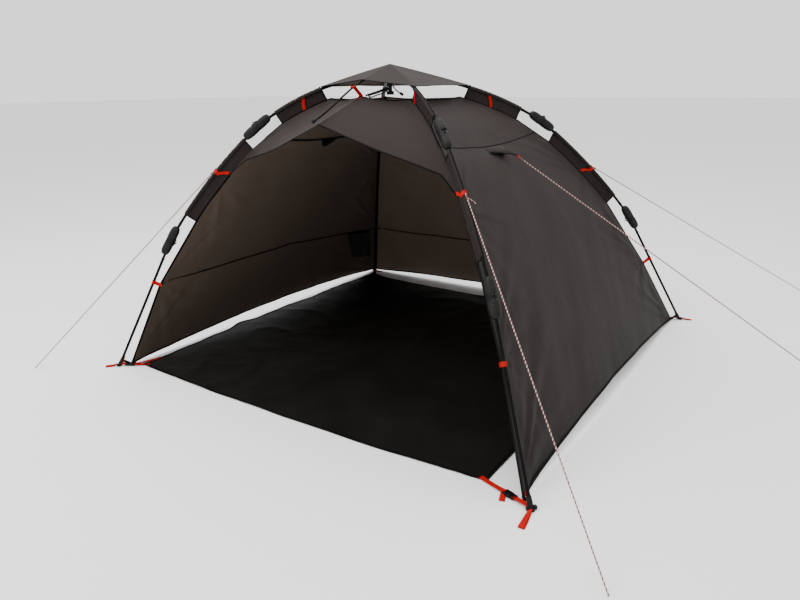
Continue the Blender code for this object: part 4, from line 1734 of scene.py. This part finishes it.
    def flared(
        self, points: Sequence[Vector], lift: Vector, first: float, last: float
    ) -> bmesh.types.BMesh:
        """Webbing along some points, whose width runs from first to last."""
        stations = stations_along(curve_through(points, 8), lift)
        count = len(stations) - 1
        grown = [
            Station(s.point, s.across * (1 + (last / first - 1) * smooth(n / count)), s.lift)
            for n, s in enumerate(stations)
        ]
        return swept(grown, tape_outline(first, 0.0018))

    def add_buckle(
        self, bm: bmesh.types.BMesh, centre: Vector, way: Vector, across: Vector, socket: bool
    ) -> None:
        """One half of a side-release buckle: the socket, or the prongs with their webbing bar.

        Args:
            bm: takes the half in.
            centre: the buckle's middle, on the ground.
            way: the direction of the strap.
            across: the direction of its width.
            socket: make the socket, not the prongs.
        """
        axes = (across, way, UP)
        middle = centre + UP * 0.0085
        if socket:
            absorb(bm, slab(middle + way * 0.001, axes, (0.0285, 0.026, 0.0095), 0.0022), 1)
            absorb(bm, slab(middle - way * 0.0185, axes, (0.0285, 0.004, 0.0080), 0.0014), 1)
            for sign in (-1, 1):
                rail = middle - way * 0.0145 + across * sign * 0.0128
                absorb(bm, slab(rail, axes, (0.003, 0.010, 0.0075), 0.0010), 1)
            return
        for sign in (-1, 1):
            prong = middle + way * 0.013 + across * sign * 0.0125
            absorb(bm, slab(prong, axes, (0.0042, 0.018, 0.0062), 0.0016), 1)
        absorb(bm, slab(middle + way * 0.0195, axes, (0.0275, 0.006, 0.0075), 0.0016), 1)
        absorb(bm, slab(middle + way * 0.0285, axes, (0.0275, 0.0036, 0.0066), 0.0012), 1)
        for sign in (-1, 1):
            rail = middle + way * 0.024 + across * sign * 0.0122
            absorb(bm, slab(rail, axes, (0.003, 0.009, 0.0066), 0.0010), 1)

    def build_lower_strap(self, leg: LegLine) -> None:
        """The red strap that ties the cloth's edge to the lower pole."""
        level = leg.strap_level
        pole, seam = leg.world(leg.pole(level)), leg.world(leg.seam(level))
        out = leg.turn(leg.outward(2))
        radius = PLAN.pole_radius + 0.0012
        turns = [math.pi * (0.12 + 1.76 * n / 16) for n in range(17)]
        ring = [pole - out * math.cos(t) * radius + leg.side * math.sin(t) * radius for t in turns]
        line = [seam - out * 0.010, seam] + ring + [seam + leg.side * 0.001, seam - out * 0.010]
        bm = banded(line, leg.turn(leg.along(2)), 0.018)
        name = f"lower_strap_{leg.corner.label}"
        add_piece(name, bm, (self.wardrobe.red,), leg.body(Zone.LOWER))

    def build_tabs(self, leg: LegLine) -> None:
        """The red tabs on both faces of the sleeves' webs: the upper one, and the guy line's own.

        Args:
            leg: the leg's line.
        """
        level = 0.47 if leg.corner is Corner.FRONT_RIGHT else 0.60
        pole, seam = leg.world(leg.pole(level)), leg.world(leg.seam(level + 0.033))
        out = leg.turn(leg.normal(level))
        bm = bmesh.new()
        for sign in (-1, 1):
            side = leg.side * sign
            line = [
                pole - out * 0.0065 + side * 0.0072,
                pole - out * 0.0115 + side * 0.0056,
                pole.lerp(seam, 0.55) + side * 0.0042,
                seam + side * 0.0030,
            ]
            absorb(bm, banded(curve_through(line, 4), leg.turn(leg.along(0)), 0.015), 0)
        name = f"upper_tab_{leg.corner.label}"
        add_piece(name, bm, (self.wardrobe.red,), leg.body(Zone.UPPER))
        pole, seam = leg.world(leg.pole(leg.guy_level)), leg.world(leg.seam(leg.guy_level - 0.06))
        out = leg.turn(leg.normal(leg.guy_level))
        bm = bmesh.new()
        for sign in (-1, 1):
            side = leg.side * sign
            line = [
                pole + out * 0.0135 + side * 0.0008,
                pole + out * 0.0085 + side * 0.0070,
                pole + side * 0.0108,
                pole - out * 0.0100 + side * 0.0072,
                pole.lerp(seam, 0.55) + side * 0.0050,
                pole.lerp(seam, 0.90) + side * 0.0044,
            ]
            absorb(bm, banded(curve_through(line, 4), leg.turn(leg.along(1)), 0.018), 0)
        name = f"guy_tab_{leg.corner.label}"
        add_piece(name, bm, (self.wardrobe.red,), leg.body(Zone.MIDDLE))


@dataclass
class GuyLines:
    """The seven taut guy lines, each tied at the tent and running to the ground."""

    wardrobe: Wardrobe
    radius: float = 0.0023
    sleeve_stand: float = 0.0115
    coils: int = 3

    def build(self, vents: dict[str, tuple[Vector, Vector]]) -> None:
        """Make every line. vents maps a vent's name to the line's two ends."""
        for leg in LEGS.values():
            start = leg.world(leg.pole(leg.guy_level) + leg.outward(1) * self.sleeve_stand)
            self.build_line(leg.corner.label, start, leg.guy_end())
        for name, (start, end) in vents.items():
            self.build_line(f"vent_{name}", start, end)

    def build_line(self, name: str, start: Vector, end: Vector) -> None:
        """One taut line with its knot and loose tail.

        Args:
            name: the line's name in the part, after guy_line.
            start: where it is tied.
            end: where it meets the ground.
        """
        way = (end - start).normalized()
        low = end - way * (self.radius / -way.z)
        steps = 40
        points = [start.lerp(low, n / steps) for n in range(steps + 1)]
        across = UP.cross(way).normalized()
        bm = swept(stations_along(points, across), round_outline(self.radius, 10))
        for n in range(self.coils):
            spot = start + way * (0.016 + 0.0042 * n)
            ring = turned(spot, way, self.radius * 1.75, 0.0042, 0.0014, 12)
            absorb(bm, ring, 0)
        tail = [
            start + way * 0.020,
            start + way * 0.026 + across * 0.006 - UP * 0.001,
            start + way * 0.032 + across * 0.018 - UP * 0.004,
            start + way * 0.040 + across * 0.030 - UP * 0.010,
        ]
        loose = stations_along(curve_through(tail, 6), across)
        absorb(bm, swept(loose, round_outline(self.radius * 0.85, 8)), 0)
        piece = add_piece(f"guy_cord_{name}", bm, (self.wardrobe.cord,), "root")
        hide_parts(f"guy_line_{name}")
        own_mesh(piece)


# crown


@dataclass
class Crown:
    """The hub with its pull cords, the brow rod and the red strap between cap and brow."""

    wardrobe: Wardrobe
    rod_tip: Vector = field(default_factory=lambda: Vector((0.0, -0.814, 1.194)))
    rod_pin_height: float = 1.358
    rod_radius: float = 0.004
    rod_bow: float = 0.042
    strap_y: float = -0.550

    def build(self) -> None:
        """Make the crown's pieces."""
        self.build_hub()
        self.build_rod()
        self.build_cords()
        self.build_strap()

    def build_hub(self) -> None:
        """The hub's own solid with its edges rounded, a domed top and screws."""
        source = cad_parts["hub"].data
        bm = bmesh.new()
        bm.from_mesh(source)
        bmesh.ops.remove_doubles(bm, verts=bm.verts, dist=1e-5)
        bmesh.ops.dissolve_limit(bm, angle_limit=0.02, verts=bm.verts, edges=bm.edges)
        layer = bm.loops.layers.uv.verify()
        for face in bm.faces:
            for loop in face.loops:
                loop[layer].uv = (loop.vert.co.x, loop.vert.co.z)
        centre = Vector((0.0, PLAN.hub_y, 0.0))
        for n in range(5):
            turn = math.radians(36 + 72 * n)
            spot = centre + Vector((math.cos(turn), math.sin(turn), 0.0)) * 0.017 + UP * 1.3925
            absorb(bm, turned(spot, UP, 0.0032, 0.0018, 0.0005, 16), 1)
        absorb(bm, turned(centre + UP * 1.394, UP, 0.009, 0.005, 0.0015, 24), 0)
        finishes = (self.wardrobe.hub, self.wardrobe.steel)
        piece = add_piece("crown_hub", bm, finishes, "root", 30.0)
        rounding = piece.modifiers.new("edges", "BEVEL")
        rounding.width = 0.0007
        rounding.segments = 2
        rounding.limit_method = "ANGLE"
        rounding.angle_limit = math.radians(35)
        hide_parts("hub")

    def rod_point(self, share: float) -> Vector:
        """A point of the rod, which is bowed most near the hub."""
        start = Vector((0.0, PLAN.hub_y - PLAN.hub_pin_radius, self.rod_pin_height))
        lift = self.rod_bow * 27 / 4 * share * (1 - share) ** 2
        return start.lerp(self.rod_tip, share) + UP * lift

    def build_rod(self) -> None:
        """The bowed brow rod with its knuckle and ball tip."""
        start = self.rod_point(0.0)
        points = [self.rod_point(0.02 + 0.98 * n / 48) for n in range(49)]
        side = Vector((1, 0, 0))
        bm = swept(stations_along(points, side), round_outline(self.rod_radius, 16))
        way = (points[1] - start).normalized()
        absorb(bm, turned(start, side, 0.0077, 0.0078, 0.0008), 1)
        axes = (side, way.cross(side), way)
        absorb(bm, slab(start + way * 0.0125, axes, (0.0076, 0.0085, 0.016), 0.001), 1)
        absorb(bm, turned(start + way * 0.030, way, 0.006, 0.022, 0.001), 1)
        ball = bmesh.new()
        spot = Matrix.Translation(self.rod_tip)
        bmesh.ops.create_uvsphere(ball, u_segments=24, v_segments=16, radius=0.0088, matrix=spot)
        absorb(bm, ball, 1)
        last = (points[-1] - points[-3]).normalized()
        absorb(bm, turned(self.rod_tip - last * 0.012, last, 0.0058, 0.014, 0.001), 1)
        finishes = (self.wardrobe.pole, self.wardrobe.hub)
        piece = add_piece("brow_pole", bm, finishes, "brow_rod", 35.0)
        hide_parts("brow_rod")

    def build_cords(self) -> None:
        """The black pull cords that hang in loops from the hub's grip."""
        hub = Vector((0.0, PLAN.hub_y, 0.0))
        routes = (
            (
                (0.009, 0.0, 1.322), (-0.015, -0.021, 1.304), (-0.047, -0.045, 1.296),
                (-0.071, -0.067, 1.281), (-0.060, -0.060, 1.276), (-0.042, -0.046, 1.284),
                (-0.017, -0.026, 1.294), (0.004, -0.004, 1.316),
            ),
            (
                (-0.006, 0.0, 1.324), (-0.030, -0.028, 1.306), (-0.060, -0.055, 1.293),
                (-0.085, -0.074, 1.283), (-0.064, -0.060, 1.286), (-0.034, -0.034, 1.297),
                (-0.008, -0.006, 1.316),
            ),
            ((0.014, 0.002, 1.322), (0.026, 0.008, 1.306), (0.039, 0.012, 1.295), (0.046, 0.015, 1.290)),
        )
        bm = bmesh.new()
        for route in routes:
            line = curve_through([hub + Vector(point) for point in route], 8)
            absorb(bm, swept(stations_along(line, UP), round_outline(0.0030, 10)), 0)
        bead = hub + Vector(routes[-1][-1]) + Vector((0.004, 0.002, -0.002))
        absorb(bm, turned(bead, Vector((0.7, 0.2, -0.5)), 0.0062, 0.018, 0.002), 1)
        add_piece("pull_cords", bm, (self.wardrobe.black_cord, self.wardrobe.hub), "root")

    def build_strap(self) -> None:
        """The red strap that hangs the brow's top edge from the rod."""
        start = PLAN.hub_y - PLAN.hub_pin_radius
        rod = self.rod_point((self.strap_y - start) / (self.rod_tip.y - start))
        low = Vector(PLAN.ring_front)
        line = []
        for n in range(13):
            turn = math.radians(-60 - 250 * n / 12)
            line.append(rod + Vector((0.0, math.cos(turn), math.sin(turn))) * (self.rod_radius + 0.0011))
        line += [low + Vector((0, y, z)) for y, z in ((0.002, 0.004), (0.001, -0.003), (-0.022, -0.011))]
        bm = banded(line, Vector((1, 0, 0)), 0.023)
        add_piece("brow_strap", bm, (self.wardrobe.red,), "brow_rod")


# vents and pocket


@dataclass
class WallFittings:
    """The hooded vents, one in each wall, and the net pocket inside."""

    wardrobe: Wardrobe
    cloths: Cloths
    half_width: float = 0.080
    root_height: float = 1.072
    tip_height: float = 1.030
    depth: float = 0.058
    guy_x: float = 2.10
    guy_y: float = 0.20
    guy_back: float = 2.15

    def build(self) -> dict[str, tuple[Vector, Vector]]:
        """Make the vents and the pocket. Returns each vent line's two ends."""
        ends = {
            "right": Vector((self.guy_x, self.guy_y, 0.0)),
            "left": Vector((-self.guy_x, self.guy_y, 0.0)),
            "back": Vector((0.0, self.guy_back, 0.0)),
        }
        lines = {}
        for side, end in ends.items():
            tip = self.build_vent(side)
            lines[side] = (tip + (end - tip).normalized() * 0.004, end)
        self.build_pocket()
        return lines

    def wall_level(self, cloth: WallCloth, share: float, height: float) -> float:
        """The level at which a wall passes a height."""
        low, high = 0.9, 2.0
        for _ in range(30):
            middle = (low + high) / 2
            if cloth.base(share, middle).z > height:
                low = middle
            else:
                high = middle
        return low

    def build_vent(self, side: str) -> Vector:
        """One hood with its net opening, painted dark as shade, and red loop.

        Args:
            side: the wall's name.

        Returns:
            The tip that the guy line pulls.
        """
        cloth, share = self.cloths.walls[side], 0.5
        top_level = self.wall_level(cloth, share, self.root_height)
        top = cloth.base(share, top_level)
        tip = cloth.base(share, self.wall_level(cloth, share, self.tip_height)) + cloth.face * self.depth
        ends = [leg.world(leg.seam(1.05)) for leg in (cloth.first, cloth.second)]
        spread = self.half_width / (ends[1] - ends[0]).length
        columns, rows = 24, 12

        def hood(column: int, row: int) -> Vector:
            """A point of the hood: columns along its root, rows out to its lip."""
            u, v = column / columns, row / rows
            root_u = share + spread * (2 * u - 1)
            out = cloth.normal(root_u, top_level)
            root = cloth.at(root_u, top_level) + out * 0.0016
            half = abs(2 * u - 1)
            side_low = cloth.at(root_u, top_level + 0.02 + 0.05 * half) + out * 0.002
            lip = tip.lerp(side_low, half**1.25)
            point = root.lerp(lip, v)
            return point + (cloth.face + UP) * 0.007 * math.sin(math.pi * v) * (1 - half)

        bm = loft(columns, rows, hood, (self.half_width * 2, 0.1))
        bm.normal_update()
        bm.faces.ensure_lookup_table()
        if bm.faces[len(bm.faces) // 2].normal.z < 0:
            bmesh.ops.reverse_faces(bm, faces=bm.faces)
        area = sum(face.calc_area() for face in bm.faces)
        thicken(bm, 0.0009)
        lip = [hood(column, rows) for column in range(columns + 1)]
        stations = stations_along(lip, cloth.face + UP)
        if stations[columns // 2].across.dot(top - tip) < 0:
            stations = [Station(s.point, -s.across, s.lift) for s in stations]
        absorb(bm, swept(stations, binding_outline(0.009, 0.0026)), 2)
        leg, zone = cloth.first, Zone.MIDDLE
        wall = f"wall_{side}_{leg.corner.label}_middle"
        finishes = (self.wardrobe.outer, self.wardrobe.inner, self.wardrobe.black)
        piece = add_piece(f"vent_cover_{side}", bm, finishes, leg.body(zone))
        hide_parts(f"vent_hood_{side}")
        gather = self.cloths.parts[wall].gather()
        gather.apply(piece)

        # painted shade: a solid black patch, doubled a little inward, stands in for the shadowed opening
        # under the hood
        def net(column: int, row: int) -> Vector:
            """A point of the dark patch under the hood: the vent's net, made solid black as painted shade
            of the opening.
            """
            u, v = column / 16, row / 8
            half = abs(2 * u - 1)
            root_u = share + spread * 0.82 * (2 * u - 1)
            level = top_level + 0.004 + (0.115 * (1 - half**1.5)) * v
            return cloth.at(root_u, level) + cloth.normal(root_u, level) * 0.0011

        patch = (self.half_width * 1.64, 0.06)
        bm = loft(16, 8, net, patch)
        bmesh.ops.remove_doubles(bm, verts=bm.verts, dist=1e-6)
        thicken(bm, 0.0006)
        for face in bm.faces:
            face.material_index = 0
        inward = -cloth.normal(share, top_level)
        inner = loft(16, 8, lambda c, r: net(c, r) + inward * 0.0030, patch)
        thicken(inner, 0.0006)
        absorb(bm, inner, 0)
        piece = add_piece(f"vent_net_{side}", bm, (self.wardrobe.black,), leg.body(zone))
        gather.apply(piece)
        loop = []
        for n in range(17):
            turn = 2 * math.pi * n / 16
            reach = 0.006 * (1 - math.cos(turn))
            drop = reach * 0.6 - 0.0022 * math.sin(turn)
            loop.append(tip + cloth.face * (0.002 + reach) - UP * drop)
        bm = banded(loop, cloth.face.cross(UP), 0.011)
        piece = add_piece(f"vent_loop_{side}", bm, (self.wardrobe.red,), leg.body(zone))
        gather.apply(piece)
        return tip

    def build_pocket(self) -> None:
        """The net pocket on the left wall, near its rear corner, with a bound mouth."""
        cloth = self.cloths.walls["left"]
        part = self.cloths.parts["wall_left_rear_left_lower"]

        def spot(u: float, v: float) -> Vector:
            """A point of the pocket: wider at its mouth, sagging a little."""
            share = 0.05 - 0.01 * v + (0.13 - 0.03 * v) * u
            level = 2.392 - 0.40 * (share - 0.04) + 0.35 * v
            belly = 0.010 * math.sin(math.pi * u) * (1 - v) ** 0.5
            return cloth.at(share, level) - cloth.normal(share, level) * (0.0022 + belly)

        bm = loft(20, 20, lambda c, r: spot(c / 20, r / 20), (0.20, 0.17))
        area = sum(face.calc_area() for face in bm.faces)
        thicken(bm, 0.0006)
        for face in bm.faces:
            face.material_index = 0
        for line in (
            [spot(n / 20, 0.0) for n in range(21)],
            [spot(0.0, n / 20) for n in range(21)],
            [spot(1.0, n / 20) for n in range(21)],
            [spot(n / 20, 1.0) for n in range(21)],
        ):
            absorb(bm, swept(stations_along(line, Vector((1, 0, 0.3))), tape_outline(0.010, 0.0016)), 1)
        finishes = (self.wardrobe.net, self.wardrobe.black)
        piece = add_piece("pocket", bm, finishes, part.leg.body(part.zone))
        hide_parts("mesh_pocket")
        part.gather().apply(piece)


# studio


@dataclass(frozen=True)
class Studio:
    """A pale floor, soft light and the photograph's viewpoint."""

    place: tuple[float, float, float] = (1.777, -2.882, 1.332)
    yaw: float = -0.587
    pitch: float = 0.314
    roll: float = -0.009
    lens: float = 29.97
    daylight: float = 1.5
    floor_grey: float = 0.84

    def build_camera(self) -> None:
        """Aim the camera."""
        ahead = Vector(
            (
                math.sin(self.yaw) * math.cos(self.pitch),
                math.cos(self.yaw) * math.cos(self.pitch),
                -math.sin(self.pitch),
            )
        )
        right = Vector((math.cos(self.yaw), -math.sin(self.yaw), 0.0))
        top = right.cross(ahead)
        level = right * math.cos(self.roll) + top * math.sin(self.roll)
        upright = top * math.cos(self.roll) - right * math.sin(self.roll)
        data = bpy.data.cameras.new("viewpoint")
        data.lens, data.sensor_width = self.lens, 36.0
        data.clip_end = 100.0
        camera = bpy.data.objects.new("viewpoint", data)
        aim = Matrix((level, upright, -ahead)).transposed().to_4x4()
        camera.matrix_world = Matrix.Translation(self.place) @ aim
        bpy.context.scene.collection.objects.link(camera)
        bpy.context.scene.camera = camera

    def build_floor(self) -> None:
        """A wide pale floor."""
        bm = bmesh.new()
        bmesh.ops.create_grid(bm, x_segments=2, y_segments=2, size=60.0)
        mesh = bpy.data.meshes.new("floor")
        bm.to_mesh(mesh)
        bm.free()
        made = Recipe("floor_paint", 0.9)
        made.shader.inputs["Base Color"].default_value = (*(self.floor_grey,) * 3, 1.0)
        mesh.materials.append(made.material)
        floor = bpy.data.objects.new("floor", mesh)
        floor.location = (0, 0, -0.0005)
        bpy.context.scene.collection.objects.link(floor)

    def build_lights(self) -> None:
        """Even daylight from all round with two large soft panels."""
        world = bpy.data.worlds.new("studio")
        world.use_nodes = True
        back = world.node_tree.nodes["Background"]
        back.inputs["Color"].default_value = (1.0, 1.0, 1.0, 1.0)
        back.inputs["Strength"].default_value = self.daylight
        bpy.context.scene.world = world
        for name, place, size, power in (
            ("key", (-1.4, -3.8, 5.0), 4.0, 330.0),
            ("top", (0.3, 0.6, 6.0), 4.5, 170.0),
        ):
            data = bpy.data.lights.new(name, "AREA")
            data.size, data.energy = size, power
            lamp = bpy.data.objects.new(name, data)
            lamp.location = place
            aim = Vector((0, 0, 0.6)) - Vector(place)
            lamp.rotation_euler = aim.to_track_quat("-Z", "Y").to_euler()
            bpy.context.scene.collection.objects.link(lamp)


def main() -> None:
    """Build the studio and every piece of the tent."""
    studio = Studio()
    studio.build_camera()
    wardrobe = Wardrobe()
    cloths = Cloths(wardrobe)
    cloths.build()
    PoleWork(wardrobe).build()
    GroundGear(wardrobe).build()
    Crown(wardrobe).build()
    GuyLines(wardrobe).build(WallFittings(wardrobe, cloths).build())
    studio.build_floor()
    studio.build_lights()


if __name__ == "__main__":
    main()
